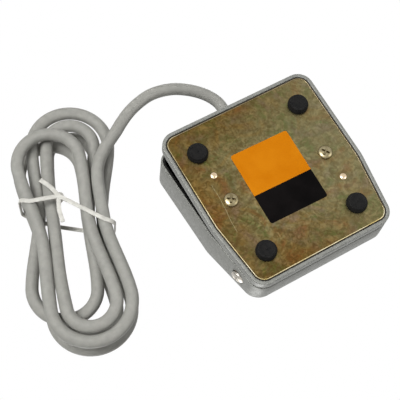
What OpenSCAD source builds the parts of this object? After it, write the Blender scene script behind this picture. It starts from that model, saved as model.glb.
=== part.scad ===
// Cast foot switch: a wedge pedal hinged at the heel over a shallow base that is closed by a steel plate.
// +Z is up, the feet stand on z = 0, +Y points to the toe end, where the cord leaves.

/* [Body] */
// Length from the heel end to the toe end
body_length = 104; // [96:1:116]
// Width of the toe half
toe_width = 99; // [92:1:110]
// Width at the heel end
heel_width = 88; // [82:1:91]
// Length of the tapering heel half
taper_length = 41.5; // [38:0.5:46]
// Radius of the four outer corners
corner_radius = 9; // [8:0.5:12]
// Radius where the straight side turns into the taper
kink_radius = 25; // [15:1:35]

/* [Base] */
// Height of the rubber feet below the plate
foot_height = 4; // [3.4:0.1:6]
// Radius of the rubber feet
foot_radius = 6; // [5:0.25:8]
// Distance from the side to the toe feet
toe_foot_side = 16; // [14:0.5:18]
// Distance from the heel half's narrow end to the heel feet, across the base
heel_foot_side = 14.3; // [13:0.1:17]
// Distance from the toe end to the toe feet
toe_foot_inset = 18.8; // [17:0.1:21]
// Distance from the heel end to the heel feet
heel_foot_inset = 17.1; // [16:0.1:20]
// Thickness of the bottom plate
plate_thickness = 1.2; // [1:0.1:2]
// How far the rim lip stands below the plate
lip_proud = 0.4; // [0.2:0.1:0.8]
// Width of the rim lip round the plate
lip_width = 2.1; // [1.6:0.1:2.4]
// Groove between the lip and the plate
plate_gap = 0.5; // [0.3:0.1:0.8]
// Height of the rim, from its lip to its upper face
rim_height = 5.7; // [5:0.1:7]
// Wall of the inner tub
tub_wall = 2.5; // [2:0.1:3]
// Height of the tub wall above the rim
tub_height = 12.7; // [12.2:0.1:13.5]

/* [Pedal] */
// Wall of the pedal casting
pedal_wall = 3; // [2.4:0.1:3.2]
// Running gap between the pedal's inside and the tub
pedal_gap = 1.2; // [1:0.1:1.6]
// Gap between the rim and the pedal's skirt at the heel
heel_seam = 1.9; // [1.6:0.1:2.4]
// Gap between the rim and the pedal's skirt at the toe end
toe_wedge = 15.9; // [14:0.1:18]
// Distance from the heel end to where the wedge gap starts
wedge_start = 30; // [29:0.5:34]
// Height of the pedal's top at the heel end
heel_top = 29; // [28:0.5:32]
// Height of the pedal's top where the taper ends
mid_top = 41; // [40:0.5:43]
// Height of the pedal's top at the toe end
toe_top = 53; // [52:0.5:56]
// Rounding of the pedal's upper edges
edge_radius = 3; // [2:0.25:4]
// Angle that the pedal turns when it is pressed fully
press_angle = 6; // [4:0.5:6]
// Length of the grip ribs across the pedal
rib_length = 76; // [60:1:80]
// Width of a grip rib
rib_width = 2.6; // [2:0.1:3.4]
// Height of a grip rib
rib_height = 0.9; // [0.6:0.1:1.4]
// Spacing of the grip ribs
rib_pitch = 6; // [5:0.25:8]
// Number of grip ribs
rib_count = 8; // [4:1:9]

/* [Hinge] */
// Distance from the heel end to the hinge axis
hinge_inset = 16; // [15:0.5:18]
// Height of the hinge axis
hinge_z = 20.6; // [20:0.1:21.5]
// Radius of the screw's shoulder in the bush
shoulder_radius = 3; // [2.5:0.1:3.2]
// Radial running clearance in the bush
running_gap = 0.05; // [0.02:0.01:0.09]
// Wall of the bush
bush_wall = 1; // [0.8:0.1:1.4]
// Radius of the pivot screw's head
pivot_head_radius = 4.2; // [4:0.1:5]
// Height of the pivot screw's head
pivot_head_height = 2.2; // [1.8:0.1:3]

/* [Fasteners] */
// Distance from the side to the two screws that hold the plate
plate_screw_side = 18.3; // [17.5:0.1:20]
// Thread radius of the plate screws
plate_screw_radius = 2; // [1.5:0.1:2.2]
// Head radius of the plate screws
plate_head_radius = 4.2; // [3.6:0.1:4.6]
// Head height of the plate screws
plate_head_height = 2; // [1.4:0.1:2.4]
// Distance from the side to the two rivets
rivet_side = 17.3; // [16.5:0.1:19]
// Half spacing of the two rivets along the plate
rivet_y = 17.4; // [16:0.1:19]
// Radius of a rivet's head
rivet_head_radius = 2.1; // [1.9:0.1:2.6]
// Radius of a rivet's shank
rivet_radius = 1.5; // [1.2:0.1:1.8]

/* [Label] */
// Width of the label across the plate
label_width = 37; // [30:0.5:40]
// Length of the label's upper field
label_upper_length = 27.5; // [20:0.5:30]
// Length of the label's lower field
label_lower_length = 18.5; // [12:0.5:20]
// Thickness of the label
label_thickness = 0.15; // [0.1:0.05:0.3]

/* [Switch] */
// Width of the switch case
case_width = 10.3; // [9:0.1:11]
// Length of the switch case
case_length = 27.8; // [27:0.1:29]
// Height of the switch case
case_height = 15.9; // [15:0.1:16.4]
// Distance from the heel end to the switch case
case_inset = 22; // [20:0.5:23]
// Spacing of the screws through the switch case
case_screw_spacing = 22.2; // [20:0.1:22.6]
// Reach of the lever from its pivot to the tip
lever_length = 23; // [21:0.5:25]
// Angle of the free lever above the case
lever_angle = 9.5; // [9:0.25:10]
// Thickness of the lever
lever_thickness = 0.5; // [0.4:0.1:0.7]
// Thickness of the plate that carries the switch and the spring
carrier_thickness = 1.5; // [1.2:0.1:2]
// Mean radius of the return spring
spring_radius = 5.4; // [5:0.1:5.6]
// Radius of the spring's wire
spring_wire = 0.65; // [0.5:0.05:0.75]
// Number of turns of the spring
spring_turns = 9; // [6:1:11]
// Room for the cores between the switch's terminals and the spring
spring_clear = 3.65; // [3.2:0.05:6]

/* [Cord] */
// Diameter of the cord
cord_diameter = 7; // [6:0.1:7.2]
// Sideways place of the cord's exit
cord_x = 2; // [0:0.5:4]
// Height of the cord's centre where it leaves the wall
cord_z = 15.9; // [15.6:0.1:16.2]
// Wall of the cord bushing
bushing_wall = 1.5; // [1.2:0.1:1.7]
// How far the bushing stands out of the tub's wall
bushing_reach = 4.2; // [3.6:0.1:6]
// Diameter of a core's insulation
core_diameter = 2.2; // [1.8:0.1:2.4]

/* [Hank] */
// Half width of the outermost loop
loop_radius = 23.5; // [23.5:0.5:24.5]
// Sideways step of one loop to the next
loop_step = 8.1; // [8.1:0.1:8.2]
// Half length of the loops' straight runs
run_half = 42; // [41:1:44]
// Loops that one layer takes, in or out
layer_loops = 1.5; // [1.5:1:1.5]
// Height of one layer above another
layer_rise = 8; // [8:0.1:8.4]
// How far the runs are drawn in at the waist
waist_in = 4; // [3:0.5:4]
// How far the tie lifts the waist off the floor
waist_lift = 1.5; // [1.4:0.1:2]
// Turn of each layer against the middle, alternating
layer_turn = 7; // [5:0.5:7]
// How far each layer is pushed along the hank, alternating
layer_slide = 6; // [4:0.5:6]
// Width of the flat tie
tie_width = 2.4; // [2:0.1:4]
// Thickness of the flat tie
tie_thickness = 0.5; // [0.4:0.05:0.5]

/* [Hidden] */
$fn = 48;

fit = 0.02;            // radial play of a thread or a pressed pin in its hole
seat = 0.1;            // play between faces that sit on each other
body_gap = 0.3;        // clearance between pieces that move against each other
through = 0.2;         // how far a cutting shape runs past a face
hull_fn = 32;          // sides of a round shape inside a hull

toe_y = body_length / 2;
heel_y = -body_length / 2;
kink_y = heel_y + taper_length;
hinge_y = heel_y + hinge_inset;
wedge_y = heel_y + wedge_start;
taper = atan((toe_width - heel_width) / 2 / taper_length);
toe_foot_x = toe_width / 2 - toe_foot_side;
heel_foot_x = heel_width / 2 - heel_foot_side;
plate_screw_x = toe_width / 2 - plate_screw_side;
rivet_x = toe_width / 2 - rivet_side;

// Levels, from the floor up
plate_z = foot_height;
lip_z = plate_z - lip_proud;
ledge_z = plate_z + plate_thickness;
rim_top = lip_z + rim_height;
carrier_top = ledge_z + carrier_thickness;
tub_top = rim_top + tub_height;
plate_inset = lip_width + plate_gap;
tub_out = pedal_wall + pedal_gap;
tub_in = tub_out + tub_wall;

// Centres of the outline's arcs on the +X side
toe_centre = [toe_width / 2 - corner_radius, toe_y - corner_radius];
kink_centre = [toe_width / 2 - kink_radius, kink_y + kink_radius * tan(taper / 2)];
heel_centre = [
    toe_width / 2 - (corner_radius + sin(taper) * (kink_y - heel_y - corner_radius)) / cos(taper),
    heel_y + corner_radius
];
corner_steps = 10;
kink_steps = 2;

// Half width of the outline on the tapering part, at y and moved in by inset
function side_x(y, inset = 0) = toe_width / 2 - (kink_y - y) * tan(taper) - inset / cos(taper);

function arc(centre, r, from, to, steps) =
    [for (i = [0:steps]) let (a = from + (to - from) * i / steps) centre + r * [cos(a), sin(a)]];

// The right half of the outline, moved in by inset
function right_points(inset) = concat(
    arc(toe_centre, corner_radius - inset, 90, 0, corner_steps),
    arc(kink_centre, kink_radius - inset, 0, -taper, kink_steps),
    arc(heel_centre, corner_radius - inset, -taper, -90, corner_steps)
);

function reversed(list) = [for (i = [len(list) - 1:-1:0]) list[i]];

// A slab of the outline, moved in by inset, from one height to another
module slab(inset, low, high) {
    right = right_points(inset);
    translate([0, 0, low]) linear_extrude(height = high - low)
        polygon(concat(right, [for (p = reversed(right)) [-p[0], p[1]]]));
}

// A side profile in Y and Z, drawn out across the whole width
module across(points) {
    rotate([90, 0, 90]) linear_extrude(height = toe_width * 1.2, center = true) polygon(points);
}

// A cylinder along X from x0 to x1, on both sides
module both_sides(x0, x1, y, z, r) {
    for (side = [-1, 1])
        translate([side * x0, y, z]) rotate([0, side * 90, 0]) cylinder(r = r, h = x1 - x0);
}

// ---- the cross recess of a screw head, cut from z = 0 down
module cross_recess(size, depth) {
    for (turn = [0, 90])
        rotate(turn) translate([0, 0, -depth / 2 + through / 2])
            cube([size, size * 0.22, depth + through], center = true);
}

// A pan head standing on z = 0, with its cross recess
module pan_head(r, h) {
    edge = h * 0.45;
    difference() {
        union() {
            cylinder(r = r, h = h - edge);
            translate([0, 0, h - edge]) cylinder(r1 = r, r2 = r - edge, h = edge);
        }
        translate([0, 0, h]) cross_recess(r * 1.25, h * 0.6);
    }
}

// ---------------------------------------------------------------- base
boss_radius = 5;
boss_top = tub_top - 3;
rib_thickness = 3;
plate_screw_depth = 9;
bush_radius = shoulder_radius + running_gap + bush_wall;
hinge_boss_radius = bush_radius + 2;
ear_x = side_x(hinge_y - hinge_boss_radius - 2, tub_out);   // outer face of the hinge ears
ear_length = 9;
ear_radius = 5.5;
thread_radius = 2;
stop_x = 25;
stop_inset = 14;
stop_y = toe_y - stop_inset;
stop_radius = 4;
bushing_radius = cord_diameter / 2 + bushing_wall;
bushing_flange = bushing_radius + 1.1;
bushing_flange_length = 1.6;
tub_toe_in = toe_y - tub_in;
tub_toe_out = toe_y - tub_out;
shelf_depth = 12;
shelf_width = 30;
shelf_top = cord_z - cord_diameter / 2;
clamp_screw_x = 10.5;
clamp_radius = 1.5;
clamp_y = tub_toe_in - shelf_depth / 2 - 1;
clamp_screw_depth = 5;

// What stands inside the tub, before it is trimmed to the walls
module tub_fittings() {
    for (side = [-1, 1]) {
        // bosses for the plate screws, ribbed to the side walls
        translate([side * plate_screw_x, 0, carrier_top]) cylinder(r = boss_radius, h = boss_top - carrier_top);
        translate([side * (plate_screw_x + toe_width / 2) / 2, 0, (rim_top + boss_top) / 2])
            cube([toe_width / 2 - plate_screw_x, rib_thickness, boss_top - rim_top], center = true);
        // posts that the pedal's stop pads meet, ribbed to the toe wall
        translate([side * stop_x, stop_y, ledge_z]) cylinder(r = stop_radius + 1, h = tub_top - ledge_z);
        translate([side * stop_x, (stop_y + toe_y) / 2, (ledge_z + tub_top) / 2])
            cube([rib_thickness, toe_y - stop_y, tub_top - ledge_z], center = true);
    }
    // shelf under the cord clamp
    translate([cord_x - shelf_width / 2, tub_toe_in - shelf_depth, ledge_z])
        cube([shelf_width, shelf_depth + tub_wall, shelf_top - ledge_z]);
}

// Ears of the hinge, standing up from the side walls
module ears() {
    both_sides(ear_x - ear_length, ear_x, hinge_y, hinge_z, ear_radius);
    for (side = [-1, 1])
        translate([side * (ear_x - ear_length / 2), hinge_y, (rim_top + hinge_z) / 2])
            cube([ear_length, 2 * ear_radius, hinge_z - rim_top + through], center = true);
}

module base_housing() {
    color([0.58, 0.59, 0.57]) difference() {
        union() {
            difference() {
                union() {
                    slab(0, lip_z, rim_top);
                    slab(tub_out, rim_top - through, tub_top);
                }
                slab(lip_width, lip_z - through, ledge_z);
                slab(tub_in, ledge_z - through, tub_top + through);
            }
            intersection() {
                tub_fittings();
                slab(tub_out + tub_wall / 2, ledge_z, tub_top);
            }
            ears();
        }
        // room for the pedal's hinge bosses
        both_sides(ear_x, toe_width / 2, hinge_y, hinge_z, hinge_boss_radius + 2 * body_gap);
        // threaded holes
        both_sides(ear_x - ear_length - through, ear_x + through, hinge_y, hinge_z, thread_radius + fit);
        for (side = [-1, 1]) {
            translate([side * plate_screw_x, 0, carrier_top - through])
                cylinder(r = plate_screw_radius + fit, h = plate_screw_depth + through);
            translate([cord_x + side * clamp_screw_x, clamp_y, shelf_top - clamp_screw_depth])
                cylinder(r = clamp_radius + fit, h = clamp_screw_depth + through);
        }
        // the cord's way out, and room for the bushing's inner flange
        translate([cord_x, tub_toe_out + through, cord_z]) rotate([90, 0, 0])
            cylinder(r = bushing_radius + fit, h = tub_wall + 2 * through);
        translate([cord_x, tub_toe_in, cord_z]) rotate([90, 0, 0])
            cylinder(r = bushing_flange + seat, h = bushing_flange_length + seat);
    }
}

module base_plate() {
    color([0.47, 0.42, 0.24]) difference() {
        slab(plate_inset, plate_z, ledge_z);
        for (foot = feet) translate([foot[0], foot[1], plate_z - through])
            cylinder(r = stem_radius + fit, h = plate_thickness + 2 * through);
        plate_holes(plate_z, plate_thickness);
    }
}

// Holes for the two screws and the two rivets, through a sheet that starts at z
module plate_holes(z, thickness) {
    for (side = [-1, 1]) {
        translate([side * plate_screw_x, 0, z - through])
            cylinder(r = plate_screw_radius + through, h = thickness + 2 * through);
        translate([side * rivet_x, side * rivet_y, z - through])
            cylinder(r = rivet_radius + fit, h = thickness + 2 * through);
    }
}

feet = [
    [toe_foot_x, toe_y - toe_foot_inset], [-toe_foot_x, toe_y - toe_foot_inset],
    [heel_foot_x, heel_y + heel_foot_inset], [-heel_foot_x, heel_y + heel_foot_inset]
];
stem_radius = 2;
barb_radius = 3.2;
barb_height = 1.2;

// A push-in rubber foot: a tread disc, a stem through the plate and a barb behind it
module foot(i) {
    color([0.06, 0.06, 0.06]) translate([feet[i][0], feet[i][1], 0]) {
        cylinder(r1 = foot_radius - 0.7, r2 = foot_radius, h = foot_height * 0.3);
        translate([0, 0, foot_height * 0.3]) cylinder(r = foot_radius, h = foot_height * 0.7);
        cylinder(r = stem_radius, h = ledge_z + barb_height);
        translate([0, 0, ledge_z]) cylinder(r1 = barb_radius, r2 = stem_radius, h = barb_height);
    }
}

module plate_screws() {
    color([0.6, 0.55, 0.38]) for (side = [-1, 1]) translate([side * plate_screw_x, 0, 0]) {
        translate([0, 0, plate_z]) rotate([180, 0, side * 35]) pan_head(plate_head_radius, plate_head_height);
        translate([0, 0, plate_z - through])
            cylinder(r = plate_screw_radius, h = carrier_top - plate_z + plate_screw_depth - 0.5);
    }
}

module plate_rivets() {
    clinch = 0.8;
    color([0.72, 0.62, 0.45]) for (side = [-1, 1]) translate([side * rivet_x, side * rivet_y, 0]) {
        translate([0, 0, plate_z - 1]) cylinder(r1 = rivet_head_radius - 0.6, r2 = rivet_head_radius, h = 1);
        translate([0, 0, plate_z - through]) cylinder(r = rivet_radius, h = carrier_top - plate_z + through);
        translate([0, 0, carrier_top]) cylinder(r1 = rivet_head_radius, r2 = rivet_radius, h = clinch);
    }
}

label_length = label_upper_length + label_lower_length;
label_skew = 1;

// A field of the label, from y0 to y1 along it
module label_field(y0, y1) {
    rotate(label_skew) translate([-label_width / 2, y0, plate_z - label_thickness])
        cube([label_width, y1 - y0, label_thickness]);
}

module label_upper() {
    color([0.85, 0.5, 0.05]) label_field(label_length / 2 - label_upper_length, label_length / 2);
}

module label_lower() {
    color([0.05, 0.05, 0.05]) label_field(-label_length / 2, label_length / 2 - label_upper_length);
}

// ---------------------------------------------------------------- switch and spring
carrier_width = 2 * (rivet_x + rivet_head_radius + 2.5);
carrier_length = 2 * (rivet_y + rivet_head_radius + 3);
tab_thickness = 1.5;
case_y = heel_y + case_inset;
case_z = carrier_top + seat;
case_top = case_z + case_height;
case_x = case_width / 2;
case_mid = case_y + case_length / 2;
case_screw_z = case_z + 3;
case_screw_radius = 1.5;
terminal_length = 7;
terminal_y = case_y + case_length + terminal_length;
spring_y = terminal_y + spring_clear + spring_radius + spring_wire;
spring_boss_z = 36;
post_radius = spring_radius - spring_wire - 0.6;
post_height = 7;
earth_at = [-22, 12];
earth_radius = 1.75;
earth_tag_radius = 3.6;
earth_tag_thickness = 0.8;
small_head_radius = 2.7;
small_head_height = 1.7;

module carrier_plate() {
    color([0.62, 0.62, 0.6]) difference() {
        union() {
            translate([-carrier_width / 2, -carrier_length / 2, ledge_z])
                cube([carrier_width, carrier_length, carrier_thickness]);
            translate([-case_x - tab_thickness, case_y + 2, ledge_z])
                cube([tab_thickness, case_length - 4, carrier_thickness + case_height - 5]);
            // tongue under the heel end of the switch
            translate([-case_x - tab_thickness, case_y, ledge_z])
                cube([case_width + 2 * tab_thickness, case_length, carrier_thickness]);
        }
        plate_holes(ledge_z, carrier_thickness);
        for (end = [-1, 1])
            translate([-case_x - tab_thickness - through, case_mid + end * case_screw_spacing / 2, case_screw_z])
                rotate([0, 90, 0]) cylinder(r = case_screw_radius + fit, h = tab_thickness + 2 * through);
        translate([earth_at[0], earth_at[1], ledge_z - through])
            cylinder(r = earth_radius + fit, h = carrier_thickness + 2 * through);
        translate([0, spring_y, ledge_z - through])
            cylinder(r = 1.5 + fit, h = carrier_thickness + 2 * through);
    }
}

module spring_post() {
    color([0.66, 0.66, 0.62]) translate([0, spring_y, 0]) {
        translate([0, 0, ledge_z]) cylinder(r = 1.5, h = carrier_thickness + through);
        translate([0, 0, carrier_top]) cylinder(r = post_radius, h = post_height - 1);
        translate([0, 0, carrier_top + post_height - 1]) cylinder(r1 = post_radius, r2 = post_radius - 1, h = 1);
    }
}

module switch_case() {
    color([0.1, 0.09, 0.09]) difference() {
        union() {
            translate([-case_x, case_y, case_z]) cube([case_width, case_length, case_height]);
            // lugs of the lever's pin
            for (side = [-1, 1])
                translate([side * 2.9 - 0.6, pivot_y - 1.5, case_top - through]) cube([1.2, 3, 2 + through]);
        }
        for (end = [-1, 1])
            translate([-case_x - through, case_mid + end * case_screw_spacing / 2, case_screw_z])
                rotate([0, 90, 0]) cylinder(r = case_screw_radius + 0.1, h = case_width + 2 * through);
        translate([0, plunger_y, case_top - 5]) cylinder(r = plunger_radius + running_gap, h = 5 + through);
        translate([-4, pivot_y, pivot_z]) rotate([0, 90, 0]) cylinder(r = pin_radius + running_gap, h = 8);
    }
}

module switch_screws() {
    color([0.66, 0.66, 0.62]) for (end = [-1, 1])
        translate([case_x, case_mid + end * case_screw_spacing / 2, case_screw_z]) {
            rotate([0, 90, 0]) pan_head(small_head_radius, small_head_height);
            translate([-case_width - tab_thickness - 1, 0, 0]) rotate([0, 90, 0])
                cylinder(r = case_screw_radius, h = case_width + tab_thickness + 1 + through);
        }
}

terminal_z = [for (i = [0:2]) case_z + 2.6 + i * 4.6];
terminal_width = 3.2;
terminal_thickness = 0.8;

module switch_terminals() {
    color([0.75, 0.62, 0.3]) for (z = terminal_z)
        translate([-terminal_width / 2, case_y + case_length, z - terminal_thickness / 2])
            cube([terminal_width, terminal_length, terminal_thickness]);
}

pivot_y = case_y + 2.5;
pivot_z = case_top + 1.1;
pin_radius = 0.6;
lever_width = 4;
plunger_radius = 1.2;
plunger_reach = 8.5;
plunger_y = pivot_y + plunger_reach;
plunger_top = pivot_z + plunger_reach * tan(lever_angle) - lever_thickness / 2 / cos(lever_angle)
    - plunger_radius * tan(lever_angle) - seat;

module switch_lever() {
    color([0.75, 0.75, 0.72]) translate([0, pivot_y, pivot_z]) {
        rotate([lever_angle, 0, 0]) translate([-lever_width / 2, 0, -lever_thickness / 2])
            cube([lever_width, lever_length, lever_thickness]);
        translate([-3.5, 0, 0]) rotate([0, 90, 0]) cylinder(r = pin_radius, h = 7);
    }
}

module switch_plunger() {
    color([0.6, 0.1, 0.1]) translate([0, plunger_y, case_top - 3]) cylinder(r = plunger_radius, h = plunger_top - case_top + 3);
}

// A point on the spring, t turns up from its seat
spring_low = carrier_top + spring_wire + seat;
spring_high = spring_boss_z - spring_wire - seat;
function spring_point(t) = [
    spring_radius * cos(360 * t), spring_y + spring_radius * sin(360 * t),
    spring_low + (spring_high - spring_low) * t / spring_turns
];

module return_spring() {
    color([0.7, 0.7, 0.68]) tube([for (i = [0:spring_turns * 8]) spring_point(i / 8)], spring_wire, 6);
}

module earth_screw() {
    color([0.75, 0.62, 0.3]) translate([earth_at[0], earth_at[1], 0]) {
        translate([0, 0, carrier_top]) cylinder(r = earth_tag_radius, h = earth_tag_thickness);
        translate([0, 0, carrier_top + earth_tag_thickness]) pan_head(3.2, 2);
        translate([0, 0, ledge_z]) cylinder(r = earth_radius, h = carrier_thickness + 1);
    }
}

// ---------------------------------------------------------------- tubes swept along points
function unit(v) = v / norm(v);

function heading(points, i) =
    i == 0 ? unit(points[1] - points[0])
    : i == len(points) - 1 ? unit(points[i] - points[i - 1])
    : unit(unit(points[i + 1] - points[i]) + unit(points[i] - points[i - 1]));

// One ring of the tube, square to its heading, with a corner at its lowest point
function ring(at, along, r, sides) =
    let (level = unit(cross(along, [0, 0, 1])), up = cross(level, along))
    [for (k = [0:sides - 1]) at + r * (sin(360 * k / sides) * level - cos(360 * k / sides) * up)];

module tube(points, r, sides) {
    last = len(points) - 1;
    corners = [for (i = [0:last]) each ring(points[i], heading(points, i), r, sides)];
    walls = [
        for (i = [0:last - 1]) for (k = [0:sides - 1])
            let (a = i * sides + k, b = i * sides + (k + 1) % sides)
            each [[a, b, a + sides], [b, b + sides, a + sides]]
    ];
    start = [for (k = [1:sides - 2]) [0, k + 1, k]];
    end = [for (k = [1:sides - 2]) [last * sides, last * sides + k, last * sides + k + 1]];
    polyhedron(points = corners, faces = concat(walls, start, end), convexity = 10);
}

// ---------------------------------------------------------------- pedal
toe_slope = atan((toe_top - mid_top) / (toe_y - kink_y));
heel_slope = atan((mid_top - heel_top) / (kink_y - heel_y));
wedge_slope = atan((toe_wedge - heel_seam) / (toe_y - wedge_y));
function top_z(y) = y > kink_y ? mid_top + (y - kink_y) * tan(toe_slope) : mid_top + (y - kink_y) * tan(heel_slope);
function skirt_z(y) = rim_top + heel_seam + max(0, y - wedge_y) * tan(wedge_slope);

past = 10;              // how far the cutting profiles run past the two ends
far_toe = toe_y + past;
far_heel = heel_y - past;
toe_travel = (toe_y - hinge_y) * sin(press_angle);

// The pedal's outside between its skirt's edge and its top, moved in and down
module pedal_block(inset, drop, low = 0) {
    intersection() {
        slab(inset, 0, toe_top * 1.5);
        across([
            [far_heel, skirt_z(far_heel) - low], [wedge_y, skirt_z(wedge_y) - low], [far_toe, skirt_z(far_toe) - low],
            [far_toe, top_z(far_toe) - drop], [kink_y, mid_top - drop], [far_heel, top_z(far_heel) - drop]
        ]);
    }
}

pivot_boss_x = ear_x + body_gap;                       // inner face of the hinge bosses
spot_clearance = 0.4;
spot_x = side_x(hinge_y - pivot_head_radius - spot_clearance);   // face under the screw heads
spring_boss_radius = 8;
actuator_y = pivot_y + (lever_length - 1) * cos(lever_angle);
lever_tip_z = pivot_z + (lever_length - 1) * sin(lever_angle) + lever_thickness / 2;
actuator_z = lever_tip_z + body_gap;
actuator_radius = 2;
actuator_boss_z = actuator_z + 5.4;
nut_height = 3.2;
nut_width = 7;
pad_height = 2.5;
// The pads meet the posts when the pedal has turned by the press angle
pad_z = hinge_z
    + (tub_top + body_gap - hinge_z + (stop_y + stop_radius - hinge_y) * sin(press_angle)) / cos(press_angle);

module pedal_cover() {
    color([0.58, 0.59, 0.57]) difference() {
        union() {
            difference() {
                hull() {
                    pedal_block(0, edge_radius);
                    pedal_block(edge_radius * (1 - cos(45)), edge_radius * (1 - cos(45)));
                    pedal_block(edge_radius, 0);
                }
                pedal_block(pedal_wall, pedal_wall, past);
                // notch in the toe wall, over the cord
                translate([cord_x - bushing_flange - 1, toe_y - pedal_wall - 1, rim_top])
                    cube([2 * bushing_flange + 2, pedal_wall + 2, notch_top - rim_top]);
            }
            intersection() {
                pedal_fittings();
                pedal_block(pedal_wall / 2, pedal_wall / 2, past);
            }
            grip_ribs();
        }
        both_sides(ear_x, toe_width / 2 + through, hinge_y, hinge_z, bush_radius + fit / 2);
        both_sides(spot_x, toe_width / 2 + through, hinge_y, hinge_z, pivot_head_radius + spot_clearance);
        translate([0, actuator_y, actuator_boss_z - through])
            cylinder(r = actuator_radius + fit, h = 7 + through);
    }
}

notch_top = cord_z + bushing_flange + toe_travel + 0.8;

// Bosses and posts under the pedal's top, before they are trimmed to it
module pedal_fittings() {
    both_sides(pivot_boss_x, toe_width / 2, hinge_y, hinge_z, hinge_boss_radius);
    translate([0, actuator_y, actuator_boss_z]) cylinder(r = 5, h = mid_top);
    translate([0, spring_y, spring_boss_z]) cylinder(r = spring_boss_radius, h = mid_top);
    translate([0, spring_y, spring_boss_z - 4]) cylinder(r = post_radius, h = 5);
    for (side = [-1, 1])
        translate([side * stop_x, stop_y, pad_z + pad_height]) cylinder(r = stop_radius, h = mid_top);
}

module grip_ribs() {
    for (i = [0:rib_count - 1])
        translate([0, kink_y + 8 + i * rib_pitch, top_z(kink_y + 8 + i * rib_pitch)])
            rotate([toe_slope, 0, 0]) cube([rib_length, rib_width, 2 * rib_height], center = true);
}

module hinge_bushes() {
    color([0.62, 0.5, 0.28]) difference() {
        both_sides(pivot_boss_x, spot_x, hinge_y, hinge_z, bush_radius);
        both_sides(pivot_boss_x - through, spot_x + through, hinge_y, hinge_z, shoulder_radius + running_gap);
    }
}

module pivot_screws() {
    color([0.7, 0.69, 0.64]) {
        both_sides(ear_x, spot_x + body_gap + through, hinge_y, hinge_z, shoulder_radius);
        both_sides(ear_x - ear_length + 1, ear_x + through, hinge_y, hinge_z, thread_radius);
        for (side = [-1, 1])
            translate([side * (spot_x + body_gap), hinge_y, hinge_z]) rotate([0, side * 90, 0]) rotate(20)
                pan_head(pivot_head_radius, pivot_head_height);
    }
}

module actuator_screw() {
    color([0.7, 0.69, 0.64]) translate([0, actuator_y, actuator_z]) {
        cylinder(r1 = actuator_radius - 0.6, r2 = actuator_radius, h = 0.8);
        translate([0, 0, 0.8]) cylinder(r = actuator_radius, h = actuator_boss_z - actuator_z + 5);
    }
}

module lock_nut() {
    color([0.7, 0.69, 0.64]) translate([0, actuator_y, actuator_boss_z - nut_height]) difference() {
        cylinder(d = nut_width / cos(30), h = nut_height, $fn = 6);
        translate([0, 0, -through]) cylinder(r = actuator_radius + fit, h = nut_height + 2 * through);
    }
}

module stop_pads() {
    color([0.06, 0.06, 0.06]) for (side = [-1, 1])
        translate([side * stop_x, stop_y, pad_z]) cylinder(r = stop_radius - 0.3, h = pad_height);
}

// Rubber blocks on the rim, which the heel wall rests on
module rest_stops() {
    color([0.06, 0.06, 0.06]) for (side = [-1, 1])
        translate([side * heel_width / 4 - 4, heel_y + 0.8, rim_top]) cube([8, pedal_wall - 1.2, heel_seam - seat]);
}

// ---------------------------------------------------------------- cord
cord_start = tub_toe_out + bushing_reach;
inner_start = tub_toe_in - shelf_depth - 3;

module cord_bushing() {
    tip_radius = cord_diameter / 2 + 1;
    color([0.2, 0.2, 0.2]) difference() {
        translate([cord_x, 0, cord_z]) rotate([-90, 0, 0]) {
            translate([0, 0, tub_toe_in - bushing_flange_length]) cylinder(r = bushing_flange, h = bushing_flange_length);
            translate([0, 0, tub_toe_in - through]) cylinder(r = bushing_radius, h = tub_wall + 2 * through);
            translate([0, 0, tub_toe_out]) cylinder(r = bushing_flange, h = bushing_flange_length);
            translate([0, 0, tub_toe_out + bushing_flange_length - through])
                cylinder(r1 = bushing_radius, r2 = tip_radius, h = bushing_reach - bushing_flange_length + through);
        }
        translate([cord_x, tub_toe_in - 3, cord_z]) rotate([-90, 0, 0])
            cylinder(r = cord_diameter / 2 + fit, h = tub_wall + bushing_reach + 3 + through);
    }
}

module cord_inner() {
    color([0.55, 0.55, 0.53]) translate([cord_x, inner_start, cord_z]) rotate([-90, 0, 0])
        cylinder(r = cord_diameter / 2, h = cord_start - inner_start);
}

clamp_thickness = 1.2;
clamp_width = 7;

// A saddle over the cord, with a foot on each side
module cord_clamp() {
    outer = cord_diameter / 2 + fit + clamp_thickness;
    color([0.62, 0.62, 0.6]) translate([cord_x, clamp_y + clamp_width / 2, 0]) difference() {
        union() {
            translate([0, 0, cord_z]) rotate([90, 0, 0]) cylinder(r = outer, h = clamp_width);
            translate([-clamp_screw_x - 3, -clamp_width, shelf_top]) cube([2 * clamp_screw_x + 6, clamp_width, clamp_thickness]);
            translate([-outer, -clamp_width, shelf_top]) cube([2 * outer, clamp_width, cord_diameter / 2]);
        }
        translate([0, through, cord_z]) rotate([90, 0, 0]) cylinder(r = cord_diameter / 2 + fit, h = clamp_width + 2 * through);
        translate([-cord_diameter / 2 - fit, -clamp_width - through, shelf_top - 5])
            cube([cord_diameter + 2 * fit, clamp_width + 2 * through, 5 + cord_diameter / 2]);
        for (side = [-1, 1])
            translate([side * clamp_screw_x, -clamp_width / 2, shelf_top - through])
                cylinder(r = clamp_radius + 0.1, h = clamp_thickness + 2 * through);
    }
}

module clamp_screws() {
    color([0.7, 0.69, 0.64]) for (side = [-1, 1]) translate([cord_x + side * clamp_screw_x, clamp_y, 0]) {
        translate([0, 0, shelf_top + clamp_thickness]) pan_head(small_head_radius, small_head_height);
        translate([0, 0, shelf_top - clamp_screw_depth + 0.5])
            cylinder(r = clamp_radius, h = clamp_screw_depth - 0.5 + clamp_thickness + through);
    }
}

// The three cores, from the end of the sheath to what they feed
core_step = core_diameter + 0.2;
core_side = spring_radius + spring_wire + core_diameter / 2 + 2;
core_end = terminal_y + seat;

// The first two points of a core, square to the end of the sheath
function core_start(x, z) = [for (back = [seat, core_diameter]) [cord_x + x, inner_start - back, cord_z + z]];

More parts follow.
